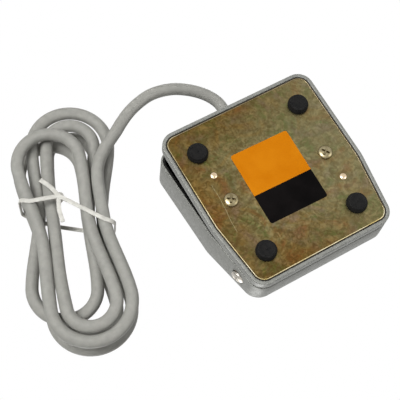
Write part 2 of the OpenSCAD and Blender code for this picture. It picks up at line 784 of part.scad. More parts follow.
live_route = concat(core_start(-core_step / 2, -1.2), [
    [-core_side, spring_y + 5.5, 13], [-core_side, spring_y - 3.5, 11], [-4.5, core_end + 3, 9.6],
    [0, core_end + core_diameter, terminal_z[0]], [0, core_end, terminal_z[0]]
]);
switched_route = concat(core_start(core_step / 2, -1.2), [
    [core_side, spring_y + 5.5, 16.5], [core_side, spring_y - 3.5, 17.5], [4.5, core_end + 3, 18.2],
    [0, core_end + core_diameter, terminal_z[2]], [0, core_end, terminal_z[2]]
]);
earth_route = concat(core_start(0, 1.4), [
    [-core_side - 4, spring_y + 10, 15], [earth_at[0] + 2, spring_y + 5, 11],
    [earth_at[0], earth_at[1] + earth_tag_radius + seat + core_diameter, carrier_top + 1.4],
    [earth_at[0], earth_at[1] + earth_tag_radius + seat, carrier_top + 1.4]
]);

module wire_live() { color([0.35, 0.18, 0.08]) tube(live_route, core_diameter / 2, 6); }
module wire_switched() { color([0.1, 0.2, 0.55]) tube(switched_route, core_diameter / 2, 6); }
module wire_earth() { color([0.3, 0.5, 0.15]) tube(earth_route, core_diameter / 2, 6); }

// The hank lies on the floor beside the toe end
cord_radius = cord_diameter / 2;
hank_at = [116, 31.8];
hank_heading = -70;
hank_first = -0.03;
hank_loops = 4.9375;
ring_count = 24;
climb_share = 1 / 4;      // part of a loop in which the cord climbs a layer
turn_share = 1 / 6;       // part of a loop in which it turns and slides to the next layer's place

function smooth(x) = let (s = min(max(x, 0), 1)) s * s * (3 - 2 * s);

// How far the spiral has gone in after t loops, in and out again
function spiral(t) = let (m = t % (2 * layer_loops)) m < layer_loops ? m : 2 * layer_loops - m;

// The layer after t loops: it changes along the run where the spiral reverses, over a share of a loop
function layer(t, share) =
    let (k = round(t / layer_loops), off = t - k * layer_loops)
    k > 0 && abs(off) < share / 2 ? k - 1 + smooth(off / share + 0.5) : floor(max(t, 0) / layer_loops);

// Place along and across the hank on a loop of half width w, q of 24 steps round
function loop_place(q, w) =
    q <= 2 ? [run_half * q / 2, -1]
    : q < 10 ? [run_half + w * sin((q - 2) * 22.5), -cos((q - 2) * 22.5)]
    : q <= 14 ? [run_half - run_half * (q - 10) / 2, 1]
    : q < 22 ? [-run_half - w * sin((q - 14) * 22.5), cos((q - 14) * 22.5)]
    : [-run_half + run_half * (q - 22) / 2, -1];

// The cord's centre line in the hank, t loops from its start
function hank_point(t) =
    let (
        w = loop_radius - loop_step * spiral(t),
        place = loop_place((t % 1) * ring_count, w),
        waist = smooth(1 - abs(place[0]) / run_half),
        across = place[1] * (w - waist_in * waist),
        phase = layer(t, turn_share) % 2,
        swing = phase < 1 ? 2 * phase - 1 : 3 - 2 * phase,
        angle = hank_heading + layer_turn * swing,
        along = place[0] - layer_slide * swing
    )
    [
        hank_at[0] + along * cos(angle) - across * sin(angle),
        hank_at[1] + along * sin(angle) + across * cos(angle),
        cord_radius + layer_rise * layer(t, climb_share) + waist_lift * waist
    ];

hank_rings = floor(hank_loops * ring_count);
hank_turns = concat([hank_first], [for (i = [0:hank_rings]) i / ring_count], [hank_loops]);
hank_points = [for (t = hank_turns) hank_point(t)];

// The free stretch from the bushing to the hank
hank_way = unit(hank_points[1] - hank_points[0]);
lead_route = [
    [3.4, 63.2, 15], [6.8, 67.6, 13.2], [11.5, 71.2, 10.9], [17.4, 74.4, 8.5], [24.3, 77, 6.2], [32, 78.4, 4.5],
    [39.5, 78.6, 3.6], [47, 77.2, 3.5], [54.5, 74.6, 3.5], [61.5, 70.8, 3.5], [67.2, 67, 3.5],
    [73, 63.6, 3.6], [78.5, 60, 3.7], [83.6, 55.7, 3.9], [87.9, 50.1, 4.1]
];
lead_points = concat(
    [[cord_x, cord_start, cord_z], [cord_x, cord_start + cord_diameter, cord_z]], lead_route,
    [hank_points[0] - hank_way * cord_diameter, hank_points[0]]
);

module cord_lead() { color([0.55, 0.55, 0.53]) tube(lead_points, cord_radius, 8); }
module cord_hank() { color([0.55, 0.55, 0.53]) tube(hank_points, cord_radius, 6); }

// Length of the cord, and the least gap between stretches that aren't neighbours
cord_points = concat([[cord_x, inner_start, cord_z]], lead_points, [for (i = [1:len(hank_points) - 1]) hank_points[i]]);
share = 4;
sampled = [
    for (i = [0:len(cord_points) - 2]) for (k = [0:share - 1])
        cord_points[i] + (cord_points[i + 1] - cord_points[i]) * k / share
];
function least_gap(i = 0, best = 1000) =
    i + 4 * share >= len(sampled) ? best
    : least_gap(i + 1, min(best, min([for (j = [i + 4 * share:len(sampled) - 1]) norm(sampled[j] - sampled[i])])));
function sum(list, i = 0, total = 0) = i == len(list) ? total : sum(list, i + 1, total + list[i]);
echo(cord_least_gap = least_gap() - cord_diameter);
echo(cord_length = sum([for (i = [1:len(cord_points) - 1]) norm(cord_points[i] - cord_points[i - 1])]));

// ---------------------------------------------------------------- tie
tie_slant = 22;
tie_at = -5;
tie_low = 0.1;
tie_play = 0.3;
tie_stretch = 1.45;     // how much wider than the cord a run is where the tie's plane cuts it
tie_heading = hank_heading + tie_slant;
tie_middle = [hank_at[0] + tie_at * cos(hank_heading), hank_at[1] + tie_at * sin(hank_heading), 0];
knot_at = [-13.5, 2.6];
knot_radius = 2.6;
run_share = 2 / ring_count;      // part of a loop from the middle of a run to its end

// Across the hank in the tie's plane, and up
function in_tie(p) = [-(p[0] - tie_middle[0]) * sin(tie_heading) + (p[1] - tie_middle[1]) * cos(tie_heading), p[2]];

// Where the swept tube's centre line is after t loops, between two of its rings
function run_point(t) =
    let (i = floor(t * ring_count), f = t * ring_count - i)
    hank_point(i / ring_count) * (1 - f) + hank_point((i + 1) / ring_count) * f;

// Where each run crosses the tie's plane, found by halving
tie_way = [cos(tie_heading), sin(tie_heading), 0];
function past_tie(t) = (run_point(t) - tie_middle) * tie_way;
function tie_turn(low, high, halvings = 16) =
    let (between = (low + high) / 2)
    halvings == 0 ? between
    : past_tie(low) * past_tie(between) <= 0 ? tie_turn(low, between, halvings - 1)
    : tie_turn(between, high, halvings - 1);
tie_turns = [for (i = [0:floor(2 * hank_loops)]) tie_turn(i / 2 - run_share, i / 2 + run_share)];

module tie_loop(grow) {
    hull() for (t = tie_turns) translate(in_tie(run_point(t)))
        scale([tie_stretch, 1]) circle(r = cord_radius + tie_play + grow, $fn = hull_fn);
}

// A flat strip on the floor between two places along and across the hank
module strip(from, to) {
    hull() for (p = [from, to]) translate([p[0], p[1], tie_low])
        cylinder(d = tie_width, h = tie_thickness, $fn = 16);
}

module cord_tie() {
    hold = 19;           // how far from the middle the loop's foot turns to the knot
    color([0.92, 0.91, 0.87]) {
        translate(tie_middle) rotate([90, 0, tie_heading + 90]) linear_extrude(height = tie_width, center = true)
            difference() {
                tie_loop(tie_thickness);
                tie_loop(0);
                translate([-hold, 0]) square([2 * hold, cord_radius + waist_lift]);
            }
        translate([hank_at[0], hank_at[1], 0]) rotate(hank_heading) {
            for (side = [-1, 1])
                strip([tie_at - side * (hold + 1) * sin(tie_slant), side * (hold + 1) * cos(tie_slant)], knot_at);
            for (end = [[-24.4, 11.5], [1.9, 2.2]]) strip(knot_at, end);
            translate([knot_at[0], knot_at[1], tie_low + knot_radius]) sphere(r = knot_radius, $fn = 24);
        }
    }
}

// ---------------------------------------------------------------- what is drawn
base_housing();
base_plate();
foot(0);  // foot_toe_right
foot(1);  // foot_toe_left
foot(2);  // foot_heel_right
foot(3);  // foot_heel_left
plate_screws();
plate_rivets();
label_upper();
label_lower();
carrier_plate();
spring_post();
return_spring();
switch_case();
switch_screws();
switch_terminals();
switch_lever();
switch_plunger();
earth_screw();
wire_live();
wire_switched();
wire_earth();
cord_clamp();
clamp_screws();
rest_stops();
pivot_screws();
pedal_cover();
hinge_bushes();
actuator_screw();
lock_nut();
stop_pads();
cord_inner();
cord_bushing();
cord_lead();
cord_hank();
cord_tie();
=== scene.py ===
import math

import bmesh
import bpy
from mathutils import Matrix, Vector


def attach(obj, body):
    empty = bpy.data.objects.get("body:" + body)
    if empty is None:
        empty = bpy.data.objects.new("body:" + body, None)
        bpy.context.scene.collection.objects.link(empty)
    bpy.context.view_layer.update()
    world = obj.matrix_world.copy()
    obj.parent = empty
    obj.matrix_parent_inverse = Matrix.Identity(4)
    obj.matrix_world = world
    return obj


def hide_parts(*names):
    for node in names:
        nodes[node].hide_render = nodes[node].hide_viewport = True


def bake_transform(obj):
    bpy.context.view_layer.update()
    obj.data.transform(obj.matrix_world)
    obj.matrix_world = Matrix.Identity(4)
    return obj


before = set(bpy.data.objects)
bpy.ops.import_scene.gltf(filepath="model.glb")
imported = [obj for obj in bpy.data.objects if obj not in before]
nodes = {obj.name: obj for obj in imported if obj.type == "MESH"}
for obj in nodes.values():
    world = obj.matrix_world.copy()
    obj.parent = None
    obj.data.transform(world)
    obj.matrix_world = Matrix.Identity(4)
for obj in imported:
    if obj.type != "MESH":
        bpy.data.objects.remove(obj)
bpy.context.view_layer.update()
mm = 0.001


def addObject(name, data):
    thing = bpy.data.objects.new(name, data)
    bpy.context.scene.collection.objects.link(thing)
    return thing


# the camera is below the part and looks up at its base
view = {
    "place": (0.1868, -0.1629, -0.5008),
    "right": (-0.8644, -0.4976, -0.0719),
    "up": (-0.4334, 0.8099, -0.3952),
    "back": (0.2549, -0.3105, -0.9158),
    "lens": 90,
    "sensor": 36,
    "clip": (0.01, 20),
}


def makeCamera():
    data = bpy.data.cameras.new("camera")
    data.lens = view["lens"]
    data.sensor_width = view["sensor"]
    data.clip_start, data.clip_end = view["clip"]
    camera = addObject("camera", data)
    turn = Matrix([view["right"], view["up"], view["back"]]).transposed()
    camera.matrix_world = Matrix.Translation(view["place"]) @ turn.to_4x4()
    bpy.context.scene.camera = camera


makeCamera()
bpy.context.scene.view_settings.view_transform = "Standard"
print("camera ready")


def smoothByAngle(mesh, degrees):
    form = bmesh.new()
    form.from_mesh(mesh)
    for face in form.faces:
        face.smooth = True
    for edge in form.edges:
        edge.smooth = len(edge.link_faces) == 2 and edge.calc_face_angle(0) < math.radians(degrees)
    form.to_mesh(mesh)
    form.free()


def evaluatedMesh(thing, name):
    bpy.context.view_layer.update()
    mesh = bpy.data.meshes.new_from_object(thing.evaluated_get(bpy.context.evaluated_depsgraph_get()))
    mesh.name = name
    return mesh


def finishedMesh(thing, name, degrees):
    thing.data = evaluatedMesh(thing, name)
    thing.modifiers.clear()
    smoothByAngle(thing.data, degrees)
    return thing


def meshOf(name, form, degrees=None):
    mesh = bpy.data.meshes.new(name)
    form.to_mesh(mesh)
    form.free()
    if degrees:
        smoothByAngle(mesh, degrees)
    return mesh


def outwardMesh(name, form, degrees=None):
    bmesh.ops.recalc_face_normals(form, faces=form.faces)
    return meshOf(name, form, degrees)


# side faces between rings of as many points
def skin(form, rings):
    for low, high in zip(rings, rings[1:]):
        for k in range(len(low)):
            m = (k + 1) % len(low)
            form.faces.new((low[k], low[m], high[m], high[k]))


# a CAD node's loose triangles, merged; lengths in metres and angles in degrees
merge = {"distance": 1e-6, "flat": 0.5}


def mergedForm(node):
    form = bmesh.new()
    form.from_mesh(nodes[node].data)
    bmesh.ops.remove_doubles(form, verts=form.verts, dist=merge["distance"])
    bmesh.ops.dissolve_limit(form, angle_limit=math.radians(merge["flat"]), verts=form.verts, edges=form.edges)
    return form


# a copy of a CAD node with its sharp edges rounded
def softenedCopy(name, node, radius, angle, degrees):
    thing = addObject(name, meshOf(name, mergedForm(node)))
    bevel = thing.modifiers.new("bevel", "BEVEL")
    bevel.width = radius * mm
    bevel.segments = 2
    bevel.limit_method = "ANGLE"
    bevel.angle_limit = math.radians(angle)
    bevel.miter_outer = "MITER_ARC"
    return finishedMesh(thing, name, degrees)


def roundAngles(steps):
    return [2 * math.pi * i / steps for i in range(steps)]


# a turned body about +Z from (radius, height) pairs in mm that start and end on the axis
def turnedMesh(name, profile, steps, degrees=None):
    form = bmesh.new()
    rings = []
    for radius, height in profile:
        r = radius * mm
        angles = roundAngles(steps if r > 1e-9 else 1)
        rings.append([form.verts.new((r * math.cos(a), r * math.sin(a), height * mm)) for a in angles])
    for low, high in zip(rings, rings[1:]):
        for i in range(steps):
            j = (i + 1) % steps
            corners = [low[i % len(low)], low[j % len(low)], high[j % len(high)], high[i % len(high)]]
            unique = [v for n, v in enumerate(corners) if v not in corners[:n]]
            if len(unique) > 2:
                form.faces.new(unique)
    return outwardMesh(name, form, degrees)


# Geometry Nodes trees: named inputs, then links between named sockets
def newTree(name, inputs):
    tree = bpy.data.node_groups.new(name, "GeometryNodeTree")
    tree.interface.new_socket("Geometry", in_out="INPUT", socket_type="NodeSocketGeometry")
    for label, kind in inputs.items():
        tree.interface.new_socket(label, in_out="INPUT", socket_type="NodeSocket" + kind)
    tree.interface.new_socket("Geometry", in_out="OUTPUT", socket_type="NodeSocketGeometry")
    return tree, tree.nodes.new("NodeGroupInput"), tree.nodes.new("NodeGroupOutput")


def addNode(tree, kind, **settings):
    node = tree.nodes.new(kind)
    for key, value in settings.items():
        if key in node.inputs:
            node.inputs[key].default_value = value
        else:
            setattr(node, key, value)
    return node


def linkAll(tree, *links):
    for source, output, target, socket in links:
        tree.links.new(source.outputs[output], target.inputs[socket])


# realizes what a node gives, sets the tree's material on it and hands it out
def closeTree(tree, begin, end, source, output):
    realize = addNode(tree, "GeometryNodeRealizeInstances")
    paint = addNode(tree, "GeometryNodeSetMaterial")
    linkAll(tree, (source, output, realize, "Geometry"), (realize, "Geometry", paint, "Geometry"),
            (begin, "Material", paint, "Material"), (paint, "Geometry", end, "Geometry"))
    return tree


# runs a tree on an object and leaves the plain mesh it made
def runTree(thing, tree, values, name):
    modifier = thing.modifiers.new("nodes", "NODES")
    modifier.node_group = tree
    for item in tree.interface.items_tree:
        if item.in_out == "INPUT" and item.name in values:
            modifier[item.identifier] = values[item.name]
    mesh = evaluatedMesh(thing, name)
    smoothByAngle(mesh, 35)
    thing.modifiers.clear()
    if thing.type == "MESH":
        thing.data = mesh
        return thing
    bpy.data.objects.remove(thing)
    return addObject(name, mesh)


# sweeps a round section along a curve; "along" is in metres and "around" goes from 0 to 1
def sweepTree():
    tree, begin, end = newTree("sweptRound", {
        "Radius": "Float", "Sides": "Int", "Caps": "Bool", "Material": "Material",
    })
    alongSource = addNode(tree, "GeometryNodeSplineParameter")
    keepAlong = addNode(tree, "GeometryNodeStoreNamedAttribute", data_type="FLOAT", domain="POINT", Name="along")
    section = addNode(tree, "GeometryNodeCurvePrimitiveCircle")
    aroundSource = addNode(tree, "GeometryNodeSplineParameter")
    keepAround = addNode(tree, "GeometryNodeStoreNamedAttribute", data_type="FLOAT", domain="POINT", Name="around")
    sweep = addNode(tree, "GeometryNodeCurveToMesh")
    linkAll(tree, (begin, "Geometry", keepAlong, "Geometry"), (alongSource, "Length", keepAlong, "Value"),
            (begin, "Radius", section, "Radius"), (begin, "Sides", section, "Resolution"),
            (section, "Curve", keepAround, "Geometry"), (aroundSource, "Factor", keepAround, "Value"),
            (keepAlong, "Geometry", sweep, "Curve"), (keepAround, "Geometry", sweep, "Profile Curve"),
            (begin, "Caps", sweep, "Fill Caps"))
    return closeTree(tree, begin, end, sweep, "Mesh")


# sets one body on every point of a mesh, turned as its "turn" attribute says
def placedTree():
    tree, begin, end = newTree("placedBodies", {"Body": "Object", "Size": "Float", "Material": "Material"})
    body = addNode(tree, "GeometryNodeObjectInfo")
    turn = addNode(tree, "GeometryNodeInputNamedAttribute", data_type="FLOAT_VECTOR", Name="turn")
    place = addNode(tree, "GeometryNodeInstanceOnPoints")
    linkAll(tree, (begin, "Body", body, "Object"), (begin, "Geometry", place, "Points"),
            (body, "Geometry", place, "Instance"), (turn, "Attribute", place, "Rotation"),
            (begin, "Size", place, "Scale"))
    return closeTree(tree, begin, end, place, "Instances")


sweptRound = sweepTree()
placedBodies = placedTree()


# sets copies of a body on places in mm
def placeBodies(name, body, places, turns, slot):
    mesh = bpy.data.meshes.new(name)
    mesh.from_pydata([Vector(place) * mm for place in places], [], [])
    turn = mesh.attributes.new("turn", "FLOAT_VECTOR", "POINT")
    for item, value in zip(turn.data, turns):
        item.vector = value
    values = {"Body": body, "Size": 1.0, "Material": finishes[slot]}
    thing = runTree(addObject(name, mesh), placedBodies, values, name)
    bpy.data.objects.remove(body)
    return thing


# sweeps a round rod of a radius in mm through points in metres
def sweepAlong(name, points, radius, sides, slot, closed=False):
    curve = bpy.data.curves.new(name + "Path", "CURVE")
    curve.dimensions = "3D"
    spline = curve.splines.new("POLY")
    spline.points.add(len(points) - 1)
    for point, place in zip(spline.points, points):
        point.co = (*place, 1)
    spline.use_cyclic_u = closed
    values = {"Radius": radius * mm, "Sides": sides, "Caps": not closed, "Material": finishes[slot]}
    return runTree(addObject(name + "Path", curve), sweptRound, values, name)


# materials, on Object coordinates in metres unless they read an attribute
class Finish:
    def __init__(self, name, metallic, rough, shine=0.5):
        self.material = bpy.data.materials.new(name)
        self.material.use_nodes = True
        self.tree = self.material.node_tree
        self.shader = self.tree.nodes["Principled BSDF"]
        for key, value in {"Metallic": metallic, "Roughness": rough, "Specular IOR Level": shine}.items():
            self.shader.inputs[key].default_value = value
        self.place = self.tree.nodes.new("ShaderNodeTexCoord").outputs["Object"]

    def node(self, kind, **settings):
        return addNode(self.tree, kind, **settings)

    def attribute(self, name):
        return self.node("ShaderNodeAttribute", attribute_name=name).outputs["Fac"]

    def axes(self):
        node = self.node("ShaderNodeSeparateXYZ")
        self.tree.links.new(self.place, node.inputs[0])
        return node.outputs["X"], node.outputs["Y"]

    def noise(self, scale, detail=3.0, distortion=0.0):
        node = self.node("ShaderNodeTexNoise", Scale=scale, Detail=detail, Distortion=distortion)
        self.tree.links.new(self.place, node.inputs["Vector"])
        return node.outputs["Fac"]

    def cells(self, scale):
        node = self.node("ShaderNodeTexVoronoi", feature="SMOOTH_F1", Scale=scale)
        self.tree.links.new(self.place, node.inputs["Vector"])
        return node.outputs["Distance"]

    # sets each socket to a number or a colour, or links it to another node's output
    def fill(self, sockets, values):
        for socket, value in zip(sockets, values):
            if isinstance(value, (int, float)):
                socket.default_value = value
            elif isinstance(value, tuple):
                socket.default_value = (*value, 1)
            else:
                self.tree.links.new(value, socket)

    def math(self, operation, a, b=0.0):
        node = self.node("ShaderNodeMath", operation=operation)
        self.fill(node.inputs, (a, b))
        return node.outputs[0]

    def times(self, a, b):
        return self.math("MULTIPLY", a, b)

    def range(self, value, low, high, start, end):
        node = self.node("ShaderNodeMapRange")
        self.fill(node.inputs, (value, low, high, start, end))
        return node.outputs["Result"]

    def ramp(self, value, stops):
        node = self.node("ShaderNodeValToRGB")
        band = node.color_ramp
        while len(band.elements) < len(stops):
            band.elements.new(0.5)
        for element, (position, colour) in zip(band.elements, stops):
            element.position = position
            element.color = (*colour, 1)
        self.tree.links.new(value, node.inputs["Fac"])
        return node.outputs["Color"]

    def mix(self, factor, a, b, kind="MIX"):
        node = self.node("ShaderNodeMix", data_type="RGBA", blend_type=kind)
        self.fill((node.inputs[0], node.inputs[6], node.inputs[7]), (factor, a, b))
        return node.outputs[2]

    def colour(self, value):
        self.tree.links.new(value, self.shader.inputs["Base Color"])

    def rough(self, value):
        self.tree.links.new(value, self.shader.inputs["Roughness"])

    def bump(self, height, strength, distance):
        node = self.node("ShaderNodeBump", Strength=strength, Distance=distance)
        self.tree.links.new(height, node.inputs["Height"])
        self.tree.links.new(node.outputs["Normal"], self.shader.inputs["Normal"])


# a finish whose colour, gloss and surface all vary a little
plainLook = {"finer": 2.3, "vary": 0.07, "grain": 5, "relief": 0.00002}


def plainFinish(name, light, dark, metallic, rough, scale, relief=plainLook["relief"], shine=0.5):
    finish = Finish(name, metallic, rough, shine)
    finish.colour(finish.ramp(finish.noise(scale, 4.0), [(0.35, dark), (0.65, light)]))
    finish.rough(finish.range(finish.noise(scale * plainLook["finer"]), 0.3, 0.7,
                              rough - plainLook["vary"], rough + plainLook["vary"]))
    finish.bump(finish.noise(scale * plainLook["grain"]), 0.5, relief)
    return finish.material


castLook = {
    "cellsPerMetre": 620, "grainPerMetre": 900, "grain": 0.35, "relief": 0.00009, "wear": 0.35,
    "light": (0.24, 0.243, 0.224), "dark": (0.175, 0.177, 0.162), "worn": (0.205, 0.207, 0.188),
    "shadeBlack": (0.012, 0.012, 0.011),
}


def castingFinish():
    look = castLook
    finish = Finish("greyCasting", 0.2, 0.5, shine=0.25)
    grain = finish.times(finish.noise(look["grainPerMetre"]), look["grain"])
    dimple = finish.math("ADD", finish.cells(look["cellsPerMetre"]), grain)
    shade = finish.ramp(dimple, [(0.25, look["dark"]), (0.75, look["light"])])
    wear = finish.range(finish.noise(40), 0.35, 0.65, 0.0, look["wear"])
    painted = finish.mix(wear, shade, look["worn"])
    # faces marked inside take a near-black painted shade that stands in for the dark hollow
    finish.colour(finish.mix(finish.attribute("inside"), painted, look["shadeBlack"]))
    finish.rough(finish.range(finish.noise(300), 0.3, 0.7, 0.42, 0.56))
    finish.bump(dimple, 0.6, look["relief"])
    return finish.material


plateLook = {
    "halfWidth": 46.9, "halfLength": 49.4,
    "green": (0.1, 0.115, 0.038), "olive": (0.165, 0.125, 0.045), "brown": (0.165, 0.092, 0.034),
    "grey": (0.15, 0.132, 0.062), "gold": (0.255, 0.205, 0.095), "shade": (0.095, 0.066, 0.022),
    "pale": (0.25, 0.225, 0.125), "edge": (0.76, 0.58, 0.36), "violet": (0.165, 0.112, 0.098),
    "from": (35.9, 13.0), "to": (37.9, -17.8), "width": 0.22, "waver": 3, "depth": 0.7,
    "scratch": (0.34, 0.3, 0.16),
}


# mottled by the passivation; paler on one side and darker towards the other edges, which is painted light and shade
# across the plate
def plateFinish():
    look = plateLook
    finish = Finish("yellowZinc", 1.0, 0.38)
    tint = finish.ramp(finish.noise(34, 8.0, 2.4), [
        (0.37, look["green"]), (0.47, look["grey"]), (0.54, look["olive"]), (0.62, look["brown"]),
    ])
    wisp = finish.range(finish.noise(85, 8.0, 4.0), 0.46, 0.7, 0.0, 0.8)
    tint = finish.mix(wisp, tint, look["gold"])
    bloom = finish.range(finish.noise(48, 6.0, 1.8), 0.5, 0.68, 0.0, 0.55)
    tint = finish.mix(bloom, tint, look["violet"])
    fine = finish.noise(420, 5.0, 1.0)
    tint = finish.mix(finish.range(fine, 0.35, 0.6, 0.7, 0.0), tint, look["shade"])
    x, y = finish.axes()
    across = finish.times(x, 1 / (look["halfWidth"] * mm))
    down = finish.times(finish.math("ABSOLUTE", y), 1 / (look["halfLength"] * mm))
    # painted light: the plate is paler towards one side
    pale = finish.times(finish.range(across, -0.9, 0.2, 0.4, 0.0), finish.range(wisp, 0.0, 0.8, 0.6, 1.0))
    tint = finish.mix(pale, tint, look["pale"])
    # painted shade: darker towards the edges, less so on the pale side
    edge = finish.times(finish.range(finish.math("MAXIMUM", across, down), 0.4, 0.98, 0.0, 0.95),
                        finish.range(across, -0.9, 0.3, 0.15, 1.0))
    tint = finish.mix(edge, tint, look["edge"], "MULTIPLY")
    # one long scratch
    start, stop = Vector(look["from"]) * mm, Vector(look["to"]) * mm
    way = (stop - start).normalized()
    ahead = finish.math("ADD", finish.times(x, way.x), finish.times(y, way.y))
    aside = finish.math("ADD", finish.times(x, -way.y), finish.times(y, way.x))
    aside = finish.math("SUBTRACT", aside, start.y * way.x - start.x * way.y)
    waver = finish.times(finish.math("SUBTRACT", finish.noise(50), 0.5), look["waver"] * mm)
    aside = finish.math("ADD", aside, waver)
    thin = finish.math("LESS_THAN", finish.math("ABSOLUTE", aside), look["width"] * mm / 2)
    inside = finish.times(finish.math("GREATER_THAN", ahead, start.dot(way)),
                          finish.math("LESS_THAN", ahead, stop.dot(way)))
    broken = finish.math("GREATER_THAN", finish.noise(500), 0.42)
    scratch = finish.times(finish.times(thin, inside), broken)
    finish.colour(finish.mix(finish.times(scratch, look["depth"]), tint, look["scratch"]))
    finish.rough(finish.range(fine, 0.3, 0.7, 0.32, 0.46))
    finish.bump(finish.noise(1500, 2.0), 0.35, 0.00003)
    return finish.material


# painted highlight: bright along the hinge end and one side, where the edge catches the light
burrLook = {
    "heel": (-47, -42), "side": (36, 40), "dull": [(0.35, (0.2, 0.155, 0.08)), (0.65, (0.34, 0.28, 0.17))],
    "paintedGlint": [(0.35, (0.72, 0.56, 0.22)), (0.6, (1.0, 0.92, 0.66))],
}


def burrFinish():
    look = burrLook
    finish = Finish("plateEdge", 0.85, 0.32)
    x, y = finish.axes()
    broken = finish.noise(90, 4.0)
    heel = finish.range(y, look["heel"][0] * mm, look["heel"][1] * mm, 1.0, 0.0)
    side = finish.times(finish.range(x, look["side"][0] * mm, look["side"][1] * mm, 0.0, 1.0),
                        finish.range(finish.noise(30), 0.35, 0.6, 0.25, 0.9))
    # painted highlight where the heel and side masks fall, dull metal elsewhere
    finish.colour(finish.mix(finish.math("MAXIMUM", heel, side), finish.ramp(broken, look["dull"]),
                             finish.ramp(broken, look["paintedGlint"])))
    finish.rough(finish.range(finish.noise(260), 0.3, 0.7, 0.25, 0.4))
    return finish.material


def labelFinish(name, middle, light):
    finish = Finish(name, 0.0, 0.42, shine=0.03)
    finish.colour(finish.ramp(finish.noise(90, 4.0), [(0.35, middle), (0.7, light)]))
    finish.rough(finish.range(finish.noise(260), 0.3, 0.7, 0.34, 0.5))
    finish.bump(finish.noise(700), 0.3, 0.00002)
    return finish.material


# lengthwise ridges that the sheath takes from its cores
sheathLook = {
    "cores": 3.0, "turnsPerMetre": 14.0, "ridge": 0.6, "relief": 0.00025,
    "dark": (0.272, 0.27, 0.248), "light": (0.322, 0.318, 0.292),
}


def sheathFinish():
    look = sheathLook
    finish = Finish("cordSheath", 0.0, 0.55, shine=0.12)
    lay = finish.math("ADD", finish.times(finish.attribute("around"), look["cores"]),
                      finish.times(finish.attribute("along"), look["turnsPerMetre"]))
    ridge = finish.math("SINE", finish.times(lay, 2 * math.pi))
    grain = finish.noise(260, 4.0)
    finish.colour(finish.ramp(grain, [(0.3, look["dark"]), (0.7, look["light"])]))
    finish.rough(finish.range(grain, 0.3, 0.7, 0.44, 0.56))
    finish.bump(finish.math("ADD", finish.times(ridge, look["ridge"]), grain), 0.6, look["relief"])
    return finish.material


# slot: material, light, dark, metallic, roughness, spots per metre, relief and shine
plainFinishes = {
    # the dark strip round the plate's edge is painted shade in the gap
    "plate_grime": ("plateGrime", (0.06, 0.05, 0.036), (0.022, 0.018, 0.013), 0.0, 0.8, 120, 0.00002, 0.1),
    "foot_rubber": ("footRubber", (0.011, 0.0105, 0.01), (0.006, 0.006, 0.006), 0.0, 0.75, 400, 0.00004, 0.12),
    "screw_zinc": ("screwZinc", (0.35, 0.3, 0.18), (0.21, 0.17, 0.09), 1.0, 0.3, 350),
    "rivet_brass": ("rivetBrass", (0.8, 0.66, 0.48), (0.6, 0.46, 0.3), 1.0, 0.25, 350),
    "steel": ("brightSteel", (0.5, 0.47, 0.42), (0.34, 0.32, 0.28), 1.0, 0.32, 300),
    "spring_steel": ("springSteel", (0.6, 0.6, 0.58), (0.42, 0.42, 0.41), 1.0, 0.3, 300),
    "case_black": ("switchCase", (0.022, 0.02, 0.019), (0.012, 0.011, 0.011), 0.0, 0.4, 200),
    "contact_brass": ("contactBrass", (0.72, 0.55, 0.24), (0.55, 0.4, 0.16), 1.0, 0.3, 300),
    "plunger_red": ("plungerRed", (0.4, 0.03, 0.025), (0.3, 0.02, 0.018), 0.0, 0.4, 300),
    "core_brown": ("coreBrown", (0.12, 0.04, 0.015), (0.08, 0.028, 0.01), 0.0, 0.45, 300),
    "core_blue": ("coreBlue", (0.02, 0.06, 0.32), (0.015, 0.045, 0.24), 0.0, 0.45, 300),
    "core_green": ("coreGreen", (0.09, 0.26, 0.05), (0.2, 0.26, 0.03), 0.0, 0.45, 120),
    "bush_bronze": ("bushBronze", (0.5, 0.33, 0.14), (0.4, 0.25, 0.1), 1.0, 0.4, 500),
    "bushing_black": ("cordBushing", (0.035, 0.034, 0.032), (0.022, 0.021, 0.02), 0.0, 0.6, 300),
    "tie_white": ("tieWhite", (0.6, 0.59, 0.54), (0.47, 0.46, 0.42), 0.0, 0.55, 260, 0.00003),
}
finishes = {slot: plainFinish(*look) for slot, look in plainFinishes.items()} | {
    "grey_casting": castingFinish(),
    "plate_zinc": plateFinish(),
    "label_orange": labelFinish("labelOrange", (0.51, 0.155, 0.002), (0.56, 0.185, 0.004)),
    "label_black": labelFinish("labelBlack", (0.002, 0.0016, 0.0016), (0.005, 0.004, 0.004)),
    "cord_grey": sheathFinish(),
    "plate_edge": burrFinish(),
}
print("finishes ready")


# a piece takes its body, its slot and the nodes that it stands for
def settle(thing, body, slot, *replaced):
    if not thing.data.materials:
        thing.data.materials.append(finishes[slot])
    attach(thing, body)
    if replaced:
        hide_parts(*replaced)
    return thing


# the cord, along the route of its solids
cordSizes = {
    "diameter": 7, "exit": (2, 52, 15.9), "sides": 28, "ringsPerLoop": 96, "leadSteps": 8, "coreDiameter": 2.2,
    "lead": [
        (3.4, 63.2, 15), (6.8, 67.6, 13.2), (11.5, 71.2, 10.9), (17.4, 74.4, 8.5), (24.3, 77, 6.2), (32, 78.4, 4.5),
        (39.5, 78.6, 3.6), (47, 77.2, 3.5), (54.5, 74.6, 3.5), (61.5, 70.8, 3.5), (67.2, 67, 3.5),
        (73, 63.6, 3.6), (78.5, 60, 3.7), (83.6, 55.7, 3.9), (87.9, 50.1, 4.1),
    ],
}
hank = {
    "at": (116, 31.8), "heading": -70, "first": -0.03, "loops": 4.9375, "radius": 23.5, "step": 8.1, "runHalf": 42,
    "layerLoops": 1.5, "rise": 8, "waistIn": 4, "waistLift": 1.5, "turn": 7, "slide": 6,
    "climb": 1 / 4, "swing": 1 / 6,
}


def smoothStep(x):
    s = min(max(x, 0), 1)
    return s * s * (3 - 2 * s)


def spiralAt(t):
    m = math.fmod(t, 2 * hank["layerLoops"])
    return m if m < hank["layerLoops"] else 2 * hank["layerLoops"] - m


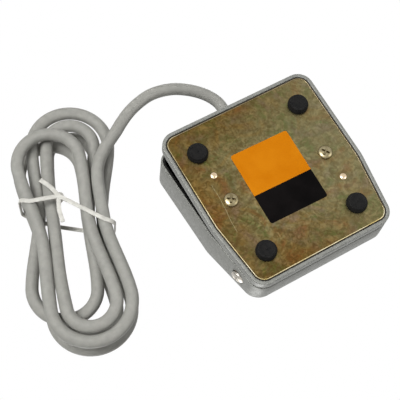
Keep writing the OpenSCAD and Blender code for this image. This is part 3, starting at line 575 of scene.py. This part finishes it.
# the layer after t loops, changing over a share of a loop
def layerAt(t, share):
    k = math.floor(t / hank["layerLoops"] + 0.5)
    off = t - k * hank["layerLoops"]
    if k > 0 and abs(off) < share / 2:
        return k - 1 + smoothStep(off / share + 0.5)
    return math.floor(max(t, 0) / hank["layerLoops"])


# a loop in 24 parts: half a run, a bend of 8, a run of 4, a bend of 8 and half a run
def loopPlace(q, w):
    run = hank["runHalf"]
    if q <= 2:
        return run * q / 2, -1
    if q < 10:
        angle = math.radians((q - 2) * 22.5)
        return run + w * math.sin(angle), -math.cos(angle)
    if q <= 14:
        return run - run * (q - 10) / 2, 1
    if q < 22:
        angle = math.radians((q - 14) * 22.5)
        return -run - w * math.sin(angle), math.cos(angle)
    return -run + run * (q - 22) / 2, -1


# a place ahead and aside of the hank's middle, in mm
def onHank(ahead, aside, z, turn=0):
    angle = math.radians(hank["heading"] + turn)
    return Vector((
        hank["at"][0] + ahead * math.cos(angle) - aside * math.sin(angle),
        hank["at"][1] + ahead * math.sin(angle) + aside * math.cos(angle), z,
    ))


# the cord's centre line in the hank, t loops from its start
def hankPoint(t):
    w = hank["radius"] - hank["step"] * spiralAt(t)
    ahead, share = loopPlace(math.fmod(t, 1) * 24, w)
    waist = smoothStep(1 - abs(ahead) / hank["runHalf"])
    aside = share * (w - hank["waistIn"] * waist)
    phase = layerAt(t, hank["swing"]) % 2
    swing = 2 * phase - 1 if phase < 1 else 3 - 2 * phase
    z = cordSizes["diameter"] / 2 + hank["rise"] * layerAt(t, hank["climb"]) + hank["waistLift"] * waist
    return onHank(ahead - hank["slide"] * swing, aside, z, hank["turn"] * swing)


def splinePoints(points, steps):
    points = [Vector(p) for p in points]
    padded = [2 * points[0] - points[1], *points, 2 * points[-1] - points[-2]]
    made = []
    for a, b, c, d in zip(padded, padded[1:], padded[2:], padded[3:]):
        for i in range(steps):
            s = i / steps
            made.append(0.5 * (2 * b + (c - a) * s + (2 * a - 5 * b + 4 * c - d) * s**2
                               + (3 * b - a - 3 * c + d) * s**3))
    return [*made, points[-1]]


def cordRoute():
    size = cordSizes["diameter"]
    exitPoint = Vector(cordSizes["exit"])
    first, second = hankPoint(hank["first"]), hankPoint(0)
    way = (second - first).normalized()
    lead = [exitPoint, exitPoint + Vector((0, size, 0)), *cordSizes["lead"], first - way * size, first]
    route = splinePoints(lead, cordSizes["leadSteps"])
    rings = cordSizes["ringsPerLoop"]
    route += [hankPoint(i / rings) for i in range(int(hank["loops"] * rings) + 1)]
    return [p * mm for p in route]


route = cordRoute()
cord = sweepAlong("cordSheath", route, cordSizes["diameter"] / 2, cordSizes["sides"], "cord_grey")
settle(cord, "base", "cord_grey", "cord_lead", "cord_hank")

# the cut end of the cord, with its three cores
cordEnd = {"coreRing": 1.3, "reaches": (-4, -1, 0.35), "play": 0.05, "turn": 20, "sides": 20}
endWay = (route[-1] - route[-2]).normalized()
endTurn = endWay.to_track_quat("Z", "Y").to_matrix()
for i, slot in enumerate(("core_brown", "core_blue", "core_green")):
    angle = math.radians(120 * i + cordEnd["turn"])
    offset = endTurn @ Vector((math.cos(angle), math.sin(angle), 0)) * cordEnd["coreRing"] * mm
    ends = [route[-1] + offset + endWay * reach * mm for reach in cordEnd["reaches"]]
    radius = cordSizes["coreDiameter"] / 2 - cordEnd["play"]
    core = sweepAlong("cordEnd_" + slot, ends, radius, cordEnd["sides"], slot)
    settle(core, "base", slot)

# the twist tie round the hank: a flat band with a wire in its middle
tie = {
    "at": -5, "slant": 22, "stretch": 1.45, "play": 0.3, "low": 0.1, "width": 2.4, "thickness": 0.5, "wire": 0.3,
    "hold": 19, "knot": (-13.5, 2.6), "knotRadius": 2.6, "knotLobe": 0.8, "knotStrand": 0.85,
    "ends": ((-24.4, 11.5), (1.9, 2.2)), "runShare": 1 / 12, "rimSteps": 72, "spacing": 1.0, "endSpacing": 0.8,
    "endBow": 0.06, "endLift": 0.5, "endSteps": 12, "knotSteps": 120, "knotSides": 12, "chamfer": 0.15,
    "ridge": (0.5, 0.3), "shoulder": 0.8, "turnUnder": 0.6, "halvings": 16,
}
tieFloor = tie["low"] + tie["thickness"] / 2


def runPoint(t):
    i = math.floor(t * 24)
    return hankPoint(i / 24).lerp(hankPoint((i + 1) / 24), t * 24 - i)


# where a run crosses the plane through middle that faces along, found by halving
def tieTurn(low, high, middle, along):
    for _ in range(tie["halvings"]):
        between = (low + high) / 2
        if (runPoint(low) - middle).dot(along) * (runPoint(between) - middle).dot(along) <= 0:
            high = between
        else:
            low = between
    return (low + high) / 2


def hullOf(points):
    points = sorted(points)

    def half(items):
        made = []
        for p in items:
            while len(made) > 1 and ((made[-1][0] - made[-2][0]) * (p[1] - made[-2][1])
                                     - (made[-1][1] - made[-2][1]) * (p[0] - made[-2][0])) <= 0:
                made.pop()
            made.append(p)
        return made[:-1]
    return half(points) + half(reversed(points))


# points evenly spaced along a bent line
def evenly(points, spacing):
    lengths = [0]
    for a, b in zip(points, points[1:]):
        lengths.append(lengths[-1] + (b - a).length)
    count = max(2, int(lengths[-1] / spacing))
    made, j = [], 0
    for i in range(count + 1):
        want = lengths[-1] * i / count
        while j < len(points) - 2 and lengths[j + 1] < want:
            j += 1
        made.append(points[j].lerp(points[j + 1], (want - lengths[j]) / max(lengths[j + 1] - lengths[j], 1e-9)))
    return made


def tangentAt(points, i):
    return (points[min(i + 1, len(points) - 1)] - points[max(i - 1, 0)]).normalized()


# a band along points; its flat outer side faces the normals
def bandMesh(name, points, normals):
    w, h, wire = tie["width"] / 2, tie["thickness"] / 2, tie["wire"]
    flat, low = w - tie["chamfer"], -h - wire * tie["shoulder"]
    foot, crest = tie["ridge"]
    section = [
        (-w, h / 2), (-flat, h), (flat, h), (w, h / 2), (w, -h / 2), (flat, -h), (foot, -h), (crest, low),
        (0, -h - wire), (-crest, low), (-foot, -h), (-flat, -h), (-w, -h / 2),
    ]
    form = bmesh.new()
    rings = []
    for i, point in enumerate(points):
        tangent = tangentAt(points, i)
        side = tangent.cross(normals[i]).normalized()
        out = side.cross(tangent).normalized()
        rings.append([form.verts.new((point + side * a + out * b) * mm) for a, b in section])
    skin(form, rings)
    form.faces.new(rings[0][::-1])
    form.faces.new(rings[-1])
    return outwardMesh(name, form, 40)


def tieLoop():
    heading = math.radians(hank["heading"] + tie["slant"])
    middle = onHank(tie["at"], 0, 0)
    along = Vector((math.cos(heading), math.sin(heading), 0))
    level = Vector((-math.sin(heading), math.cos(heading), 0))
    reach = cordSizes["diameter"] / 2 + tie["play"] + tie["thickness"] / 2
    rim = []
    for k in range(int(2 * hank["loops"]) + 1):
        place = runPoint(tieTurn(k / 2 - tie["runShare"], k / 2 + tie["runShare"], middle, along))
        u = (place - middle).dot(level)
        for a in roundAngles(tie["rimSteps"]):
            rim.append((u + reach * tie["stretch"] * math.cos(a), place.z + reach * math.sin(a)))
    outline = hullOf(rim)                                   # anticlockwise, seen along the hank
    low = cordSizes["diameter"] / 2 + hank["waistLift"]
    lifted = [p for p in outline if p[1] > low or abs(p[0]) > tie["hold"]]
    start = max(range(len(lifted)), key=lambda i: math.dist(lifted[i], lifted[i - 1]))
    lifted = lifted[start:] + lifted[:start]
    arch = [middle + level * u + Vector((0, 0, z)) for u, z in lifted]
    centre = sum(arch, Vector()) / len(arch)
    knot = onHank(*tie["knot"], tieFloor)
    path = evenly([knot, *arch, knot], tie["spacing"])
    normals = []
    for i, p in enumerate(path):
        tangent = tangentAt(path, i)
        away = Vector((0, 0, -1)) if p.z < tieFloor + tie["turnUnder"] else (p - centre)
        normals.append((away - tangent * away.dot(tangent)).normalized())
    return path, normals


tiePath, tieNormals = tieLoop()
pieces = [bandMesh("loop", tiePath, tieNormals)]
for place in tie["ends"]:
    knot, far = onHank(*tie["knot"], tieFloor), onHank(*place, tieFloor)
    side = Vector((-(far - knot).y, (far - knot).x, 0)) * tie["endBow"]
    middle = (knot + far) / 2 + side + Vector((0, 0, tie["endLift"]))
    ends = evenly(splinePoints([knot, middle, far], tie["endSteps"]), tie["endSpacing"])
    pieces.append(bandMesh("end", ends, [Vector((0, 0, -1))] * len(ends)))


form = bmesh.new()
for mesh in pieces:
    form.from_mesh(mesh)
tieBand = settle(addObject("twistTie", meshOf("twistTie", form, 40)), "base", "tie_white", "cord_tie")
knotPath = []
knotMiddle = onHank(*tie["knot"], tie["low"] + tie["knotRadius"])
for a in roundAngles(tie["knotSteps"]):
    lobe = Vector((math.sin(a) + 2 * math.sin(2 * a), math.cos(a) - 2 * math.cos(2 * a), -math.sin(3 * a)))
    knotPath.append((knotMiddle + lobe * tie["knotLobe"]) * mm)
tieKnot = sweepAlong("tieKnot", knotPath, tie["knotStrand"], tie["knotSides"], "tie_white", closed=True)
settle(tieKnot, "base", "tie_white")


# cast housing and pedal, with the rounded edges of castings
body = {
    "length": 104, "toeWidth": 99, "heelWidth": 88, "taperLength": 41.5, "cornerRadius": 9, "kinkRadius": 25,
    "lipZ": 3.6, "plateZ": 4, "rimTop": 9.3, "plateInset": 2.6, "lipRadius": 0.45, "heelSeam": 1.9,
    "toeWedge": 15.9, "wedgeStart": 30, "skirtRadius": 0.4, "skirtDraft": 2.0, "sharp": 30, "kinkSteps": 4,
    "rimSlack": 0.02, "skirtSlack": 0.03, "clear": 0.05, "roof": 0.6,
}


def outlinePoints(inset, steps):
    toeY, heelY = body["length"] / 2, -body["length"] / 2
    kinkY = heelY + body["taperLength"]
    taper = math.atan((body["toeWidth"] - body["heelWidth"]) / 2 / body["taperLength"])
    corner, kink, halfWidth = body["cornerRadius"], body["kinkRadius"], body["toeWidth"] / 2
    heelX = halfWidth - (corner + math.sin(taper) * (kinkY - heelY - corner)) / math.cos(taper)
    arcs = [
        ((halfWidth - corner, toeY - corner), corner, math.pi / 2, 0, steps),
        ((halfWidth - kink, kinkY + kink * math.tan(taper / 2)), kink, 0, -taper, body["kinkSteps"]),
        ((heelX, heelY + corner), corner, -taper, -math.pi / 2, steps),
    ]
    right = []
    for (x, y), radius, start, end, count in arcs:
        for i in range(count + 1):
            a = start + (end - start) * i / count
            right.append((x + (radius - inset) * math.cos(a), y + (radius - inset) * math.sin(a)))
    return right + [(-x, y) for x, y in reversed(right)]


def skirtZ(y):
    wedgeY = -body["length"] / 2 + body["wedgeStart"]
    slope = (body["toeWedge"] - body["heelSeam"]) / (body["length"] / 2 - wedgeY)
    return body["rimTop"] + body["heelSeam"] + max(0, y - wedgeY) * slope


def facesIn(face, edge):
    middle = (edge.verts[0].co + edge.verts[1].co) / 2
    return abs(face.normal.z) < 0.5 and face.normal.x * middle.x + face.normal.y * middle.y < 0


# a copy of a CAD node, rounded where a test picks an edge, with a radius of its own on the inner side
def castCopy(name, node, radius, innerRadius, picked, degrees, isPaintedShade):
    form = mergedForm(node)
    chosen = []
    for edge in form.edges:
        if len(edge.link_faces) == 2 and edge.calc_face_angle(0) > math.radians(body["sharp"]) and edge.is_convex:
            if all(picked(v.co / mm) for v in edge.verts):
                chosen.append(edge)
    inner = [edge for edge in chosen if any(facesIn(face, edge) for face in edge.link_faces)]
    outer = [edge for edge in chosen if edge not in inner]
    form.normal_update()
    for edges, offset in ((outer, radius), (inner, innerRadius)):
        if edges:
            edges = [edge for edge in edges if edge.is_valid]
            bmesh.ops.bevel(form, geom=edges, offset=offset * mm, offset_type="OFFSET", segments=3, profile=0.5,
                            affect="EDGES", clamp_overlap=False, miter_outer="SHARP", miter_inner="SHARP")
    mesh = meshOf(name, form, degrees)
    # faces of the tub and the hollow are marked for painted shade
    inside = mesh.attributes.new("inside", "FLOAT", "FACE")
    for face in mesh.polygons:
        inside.data[face.index].value = float(isPaintedShade(face.center / mm, face.normal))
    return addObject(name, mesh)


def onRim(p):
    return min(abs(p.z - body["rimTop"]), abs(p.z - body["lipZ"])) < body["rimSlack"]


def onSkirt(p):
    return abs(p.z - skirtZ(p.y)) < body["skirtSlack"]


# the tub above the rim, and the pedal's hollow, get painted shade: a near-black colour where the hollow lies in
# shadow
def inTub(p, normal):
    return p.z > body["rimTop"] + body["clear"]


def inHollow(p, normal):
    rise = p.z - skirtZ(p.y)
    inward = normal.z < 0.2 and normal.x * p.x + normal.y * p.y < -0.05 * p.length
    return rise > body["clear"] and (inward or normal.z < -0.4 and rise > body["roof"])


housing = castCopy("castHousing", "base_housing", body["lipRadius"], body["lipRadius"], onRim, 35, inTub)
settle(housing, "base", "grey_casting", "base_housing")
pedal = castCopy("castPedal", "pedal_cover", body["skirtRadius"], body["skirtDraft"], onSkirt, 50, inHollow)
settle(pedal, "pedal", "grey_casting", "pedal_cover")
print("castings ready")

# bottom plate, with the raised burr that its die left round the edge and, outside it, a dark strip that is painted
# shade in the gap
plate = {
    "edgeRadius": 0.12, "bevelAngle": 40, "smooth": 20, "cornerSteps": 20,
    "trims": {
        "plateBurr": {"radius": 0.24, "sides": 10, "inset": 0.55, "z": -0.02, "finish": "plate_edge"},
        # a dark strip outside the burr, painted as the shade in the gap
        "plateGrime": {"radius": 0.31, "sides": 8, "inset": 0.04, "z": 0.08, "finish": "plate_grime"},
    },
}
bottom = softenedCopy("bottomPlate", "base_plate", plate["edgeRadius"], plate["bevelAngle"], plate["smooth"])
settle(bottom, "base", "plate_zinc", "base_plate")
for name, edge in plate["trims"].items():
    edgePath = [(x * mm, y * mm, (body["plateZ"] + edge["z"]) * mm)
                for x, y in outlinePoints(body["plateInset"] + edge["inset"], plate["cornerSteps"])]
    trim = sweepAlong(name, edgePath, edge["radius"], edge["sides"], edge["finish"], closed=True)
    settle(trim, "base", "plate_zinc")

# the label's two fields; the outer corners of the label are rounded
label = {"corner": 1.5, "slack": 2, "upright": 0.01, "segments": 5, "smooth": 30}


def labelField(name, node, end):
    form = mergedForm(node)
    reach = max(v.co.y * end for v in form.verts)
    corners = [e for e in form.edges if abs(e.verts[0].co.z - e.verts[1].co.z) > label["upright"] * mm
               and all(v.co.y * end > reach - label["slack"] * mm for v in e.verts)]
    bmesh.ops.bevel(form, geom=corners, offset=label["corner"] * mm, offset_type="OFFSET",
                    segments=label["segments"], profile=0.5, affect="EDGES")
    return addObject(name, meshOf(name, form, label["smooth"]))


settle(labelField("labelUpper", "label_upper", 1), "base", "label_orange", "label_upper")
settle(labelField("labelLower", "label_lower", -1), "base", "label_black", "label_lower")

# rubber feet with the nib that the mould's gate left; (radius, height) pairs for the tread and the side
foot = {
    "tread": [(0, 0.02), (0.385, 0.05), (0.55, 0.35), (3.7, 0.35), (4.2, 0.1), (4.5, 0)], "rounding": 0.9,
    "side": [(5.75, 1.6), (6, 2.1), (6, 3.65), (5.7, 4)], "height": 4, "stem": 2, "barb": 3.2, "plate": 1.2,
    "barbHeight": 1.2, "sides": 48, "toeSide": 16, "heelSide": 14.3, "toeInset": 18.8, "heelInset": 17.1, "turn": 0.4,
}


def footBody():
    stem, height, top = foot["stem"], foot["height"], foot["height"] + foot["plate"]
    rounding, edge = foot["rounding"], foot["tread"][-1][0]
    profile = list(foot["tread"])
    for i in range(1, 7):                                   # rounded edge of the tread
        a = math.pi / 2 * i / 6
        profile.append((edge + rounding * math.sin(a), rounding * (1 - math.cos(a))))
    profile += [*foot["side"], (stem, height), (stem, top), (foot["barb"], top), (stem, top + foot["barbHeight"]),
                (0, top + foot["barbHeight"])]
    return addObject("footBody", turnedMesh("foot", profile, foot["sides"], 40))


toeX, heelX = body["toeWidth"] / 2 - foot["toeSide"], body["heelWidth"] / 2 - foot["heelSide"]
toeY, heelY = body["length"] / 2 - foot["toeInset"], -body["length"] / 2 + foot["heelInset"]
footPlaces = [(s * x, y, 0) for x, y in ((toeX, toeY), (heelX, heelY)) for s in (1, -1)]
feet = placeBodies("rubberFeet", footBody(), footPlaces, [(0, 0, foot["turn"] * i) for i in range(4)], "foot_rubber")
settle(feet, "base", "foot_rubber", "foot_toe_right", "foot_toe_left", "foot_heel_right", "foot_heel_left")

# screws: a domed head with a tapered cross recess, and a threaded shank
screws = {
    "plate": {"head": 4.2, "height": 2, "shank": 2, "length": 11.2, "pitch": 0.8, "cross": 2.9, "crossWidth": 0.62,
              "deep": 1.5, "side": 18.3, "turns": (35, -35)},
    "pivot": {"head": 4.2, "height": 2.2, "shank": 3, "length": 4.6, "pitch": 0, "cross": 2.7, "crossWidth": 0.55,
              "deep": 1.4, "hinge": (36, 20.6), "turns": (20, -20)},
}
screwShape = {
    "tip": 0.75, "root": 0.8, "plain": 0.6, "chamfer": 0.15, "rim": 0.3, "domeSteps": 8, "domePower": 0.7,
    "sides": 48, "crossAbove": (0.4, 1.15, 1.1), "crossFoot": (0.6, 0.4),
}


# the head's crown is at z = height, and the shank goes down from z = 0
def screwBody(name, size):
    shape = screwShape
    r, h, shank, pitch, tip = size["head"], size["height"], size["shank"], size["pitch"], -size["length"]
    profile = [(0, tip), (shank * shape["tip"], tip)]
    if pitch:
        for i in range(int(-tip / pitch) - 1):
            z = tip + (i + 0.5) * pitch
            profile += [(shank * shape["root"], z), (shank, z + pitch / 2)]
    profile += [(shank, -shape["plain"]), (shank, 0), (r - shape["chamfer"], 0), (r, shape["chamfer"])]
    profile.append((r, h * shape["rim"]))
    for i in range(1, shape["domeSteps"]):
        a = math.pi / 2 * i / shape["domeSteps"]
        profile.append((r * math.cos(a) ** shape["domePower"], h * (shape["rim"] + (1 - shape["rim"]) * math.sin(a))))
    profile.append((0, h))
    head = addObject(name, turnedMesh(name, profile, shape["sides"]))
    above, *top = shape["crossAbove"]
    form = bmesh.new()
    levels = []
    for z, (grow, stretch) in ((h + above, top), (h - size["deep"], shape["crossFoot"])):
        a, b = size["crossWidth"] * grow, size["cross"] * stretch
        ring = [(a, b), (a, a), (b, a)]
        ring += [(y, -x) for x, y in ring]
        ring += [(-x, -y) for x, y in ring]
        levels.append([form.verts.new((x * mm, y * mm, z * mm)) for x, y in ring])
    skin(form, levels)
    form.faces.new(levels[0])
    form.faces.new(levels[1][::-1])
    cutter = addObject(name + "Cross", outwardMesh(name + "Cross", form))
    cut = head.modifiers.new("cross", "BOOLEAN")
    cut.object = cutter
    cut.operation = "DIFFERENCE"
    cut.solver = "EXACT"
    finishedMesh(head, name, 30)
    bpy.data.objects.remove(cutter)
    return head


size = screws["plate"]
screwX = body["toeWidth"] / 2 - size["side"]
plateScrews = placeBodies(
    "plateScrews", screwBody("plateScrew", size),
    [(s * screwX, 0, body["plateZ"]) for s in (1, -1)],
    [(math.pi, 0, math.radians(a)) for a in size["turns"]], "screw_zinc")
settle(plateScrews, "base", "screw_zinc", "plate_screws")

size = screws["pivot"]
pivotBox = [nodes["pivot_screws"].matrix_world @ v.co for v in nodes["pivot_screws"].data.vertices]
headX = max(v.x for v in pivotBox) / mm - size["height"]    # under the heads
hingeY, hingeZ = -size["hinge"][0], size["hinge"][1]
pivotScrews = placeBodies(
    "pivotScrews", screwBody("pivotScrew", size),
    [(s * headX, hingeY, hingeZ) for s in (1, -1)],
    [(math.radians(a), s * math.pi / 2, 0) for a, s in zip(size["turns"], (1, -1))], "steel")
settle(pivotScrews, "base", "steel", "pivot_screws")

# rivets: low domes outside, a rolled collar inside
rivet = {
    "head": 2.1, "rise": 0.95, "domeSteps": 7, "domePower": 0.8, "side": 17.3, "y": 17.4, "sides": 32,
    "shank": [(2.037, -0.02), (1.5, -0.02), (1.5, -2.7), (2.1, -2.8), (1.89, -3.2), (1.35, -3.5), (0, -3.05)],
}


def rivetBody():
    profile = [(0, rivet["rise"])]
    for i in range(1, rivet["domeSteps"] + 1):
        a = math.pi / 2 * i / rivet["domeSteps"]
        profile.append((rivet["head"] * math.sin(a), rivet["rise"] * math.cos(a) ** rivet["domePower"]))
    return addObject("rivetBody", turnedMesh("rivet", profile + rivet["shank"], rivet["sides"], 40))


rivetX = body["toeWidth"] / 2 - rivet["side"]
rivets = placeBodies(
    "plateRivets", rivetBody(), [(s * rivetX, s * rivet["y"], body["plateZ"]) for s in (1, -1)],
    [(math.pi, 0, 0)] * 2, "rivet_brass")
settle(rivets, "base", "rivet_brass", "plate_rivets")
print("feet, screws and rivets ready")

# moulded bushing round the cord's exit: (radius, y) pairs of its flanges, with the wall between, and its taper
bushing = {"exit": (2, 15.9), "sides": 48, "smooth": 35, "profile": [
    (3.52, 43.7), (5.7, 43.7), (6.1, 44.1), (6.1, 45.3), (5, 45.3), (5, 47.8), (6.1, 47.8), (6.1, 48.9),
    (5.95, 49.25), (5.6, 49.4), (5.1, 49.45), (4.9, 49.8), (4.6, 51.7), (4.35, 52), (3.52, 52),
]}


def bushingMesh():
    form = bmesh.new()
    x, z = bushing["exit"]
    rings = [[form.verts.new(((x + radius * math.cos(a)) * mm, y * mm, (z + radius * math.sin(a)) * mm))
              for a in roundAngles(bushing["sides"])] for radius, y in bushing["profile"]]
    skin(form, rings + rings[:1])
    return outwardMesh("cordBushing", form, bushing["smooth"])


settle(addObject("cordBushing", bushingMesh()), "base", "bushing_black", "cord_bushing")

# return spring under the pedal
spring = {"radius": 5.4, "wire": 0.65, "sides": 12, "turns": 9, "steps": 32, "y": 14.5, "low": 7.45, "high": 35.25}
springPath = []
for i in range(spring["turns"] * spring["steps"] + 1):
    t = i / spring["steps"]
    a = 2 * math.pi * t
    springPath.append(Vector((
        spring["radius"] * math.cos(a), spring["y"] + spring["radius"] * math.sin(a),
        spring["low"] + (spring["high"] - spring["low"]) * t / spring["turns"])) * mm)
coil = sweepAlong("returnSpring", springPath, spring["wire"], spring["sides"], "spring_steel")
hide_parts("return_spring")
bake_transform(coil)
print("bushing and spring ready")

# solids that stay, each in the finish of its slot
kept = {
    "carrier_plate": "steel", "spring_post": "steel", "switch_case": "case_black", "switch_screws": "steel",
    "switch_terminals": "contact_brass", "switch_lever": "steel", "switch_plunger": "plunger_red",
    "earth_screw": "contact_brass", "wire_live": "core_brown", "wire_switched": "core_blue",
    "wire_earth": "core_green", "cord_clamp": "steel", "clamp_screws": "screw_zinc", "rest_stops": "foot_rubber",
    "hinge_bushes": "bush_bronze", "actuator_screw": "steel", "lock_nut": "steel", "stop_pads": "foot_rubber",
    "cord_inner": "bushing_black",
}
for name, slot in kept.items():
    for place in nodes[name].material_slots:
        place.material = finishes[slot]
print("kept solids painted")

# floor that only shows from above, pale surroundings and soft lamps
studio = {
    "floorZ": -0.0003, "floorHalf": 30, "floorColour": (0.9, 0.9, 0.9), "fadeFrom": 0.25, "fadeTo": 1.1,
    "contact": 0.02, "shadeFrom": 0.15, "shadeTo": 0.75, "fill": 0.28,
    "lamps": {
        "below": ((0.8, 0.3, -1.7), 1.1, 37), "belowLeft": ((-1.2, -0.9, -1.3), 1.2, 8),
        "above": ((0.9, -1.0, 1.9), 1.4, 28), "aboveBack": ((-1.3, 1.2, 1.4), 1.4, 15),
    },
}


def makeFloor():
    half = studio["floorHalf"]
    mesh = bpy.data.meshes.new("floor")
    corners = [(-half, -half), (half, -half), (half, half), (-half, half)]
    mesh.from_pydata([(x, y, studio["floorZ"]) for x, y in corners], [], [(0, 1, 2, 3)])
    floor = addObject("floor", mesh)
    material = bpy.data.materials.new("floor")
    material.use_nodes = True
    tree = material.node_tree
    tree.nodes.clear()
    back = addNode(tree, "ShaderNodeNewGeometry")
    white = addNode(tree, "ShaderNodeBsdfDiffuse")
    # painted shade: under the part and along its contacts the floor's colour is darkened by ambient occlusion
    close = addNode(tree, "ShaderNodeAmbientOcclusion", samples=8, Distance=studio["contact"])
    shade = addNode(tree, "ShaderNodeValToRGB")
    shade.color_ramp.elements[0].position = studio["shadeFrom"]
    shade.color_ramp.elements[1].position = studio["shadeTo"]
    shade.color_ramp.elements[1].color = (*studio["floorColour"], 1)
    pale = addNode(tree, "ShaderNodeEmission", Color=(1, 1, 1, 1))
    place = addNode(tree, "ShaderNodeTexCoord")
    reach = addNode(tree, "ShaderNodeVectorMath", operation="LENGTH")
    fade = addNode(tree, "ShaderNodeMapRange", interpolation_type="SMOOTHSTEP",
                   **{"From Min": studio["fadeFrom"], "From Max": studio["fadeTo"]})
    faded = addNode(tree, "ShaderNodeMixShader")
    clear = addNode(tree, "ShaderNodeBsdfTransparent")
    choose = addNode(tree, "ShaderNodeMixShader")
    output = addNode(tree, "ShaderNodeOutputMaterial")
    linkAll(tree, (close, "AO", shade, "Fac"), (shade, "Color", white, "Color"), (place, "Object", reach, 0),
            (reach, "Value", fade, "Value"), (fade, "Result", faded, 0), (white, 0, faded, 1), (pale, 0, faded, 2),
            (back, "Backfacing", choose, 0), (faded, 0, choose, 1), (clear, 0, choose, 2),
            (choose, 0, output, "Surface"))
    mesh.materials.append(material)
    for ray in ("diffuse", "glossy", "transmission", "shadow"):
        setattr(floor, "visible_" + ray, False)


def makeWorld():
    world = bpy.data.worlds.new("world")
    bpy.context.scene.world = world
    world.use_nodes = True
    tree = world.node_tree
    background = tree.nodes["Background"]
    background.inputs["Color"].default_value = (1, 1, 1, 1)
    path = addNode(tree, "ShaderNodeLightPath")
    seen = addNode(tree, "ShaderNodeMath", operation="MAXIMUM")
    either = addNode(tree, "ShaderNodeMath", operation="MAXIMUM")
    amount = addNode(tree, "ShaderNodeMapRange", **{"To Min": studio["fill"]})
    linkAll(tree, (path, "Is Camera Ray", seen, 0), (path, "Is Transmission Ray", seen, 1), (seen, 0, either, 0),
            (path, "Is Glossy Ray", either, 1), (either, 0, amount, "Value"),
            (amount, "Result", background, "Strength"))


def makeLamps():
    for name, (place, width, watts) in studio["lamps"].items():
        data = bpy.data.lights.new(name, "AREA")
        data.shape = "DISK"
        data.size = width
        data.energy = watts
        lamp = addObject(name, data)
        lamp.location = place
        lamp.rotation_euler = (-Vector(place)).to_track_quat("-Z", "Y").to_euler()


makeFloor()
makeWorld()
makeLamps()
print("studio ready")
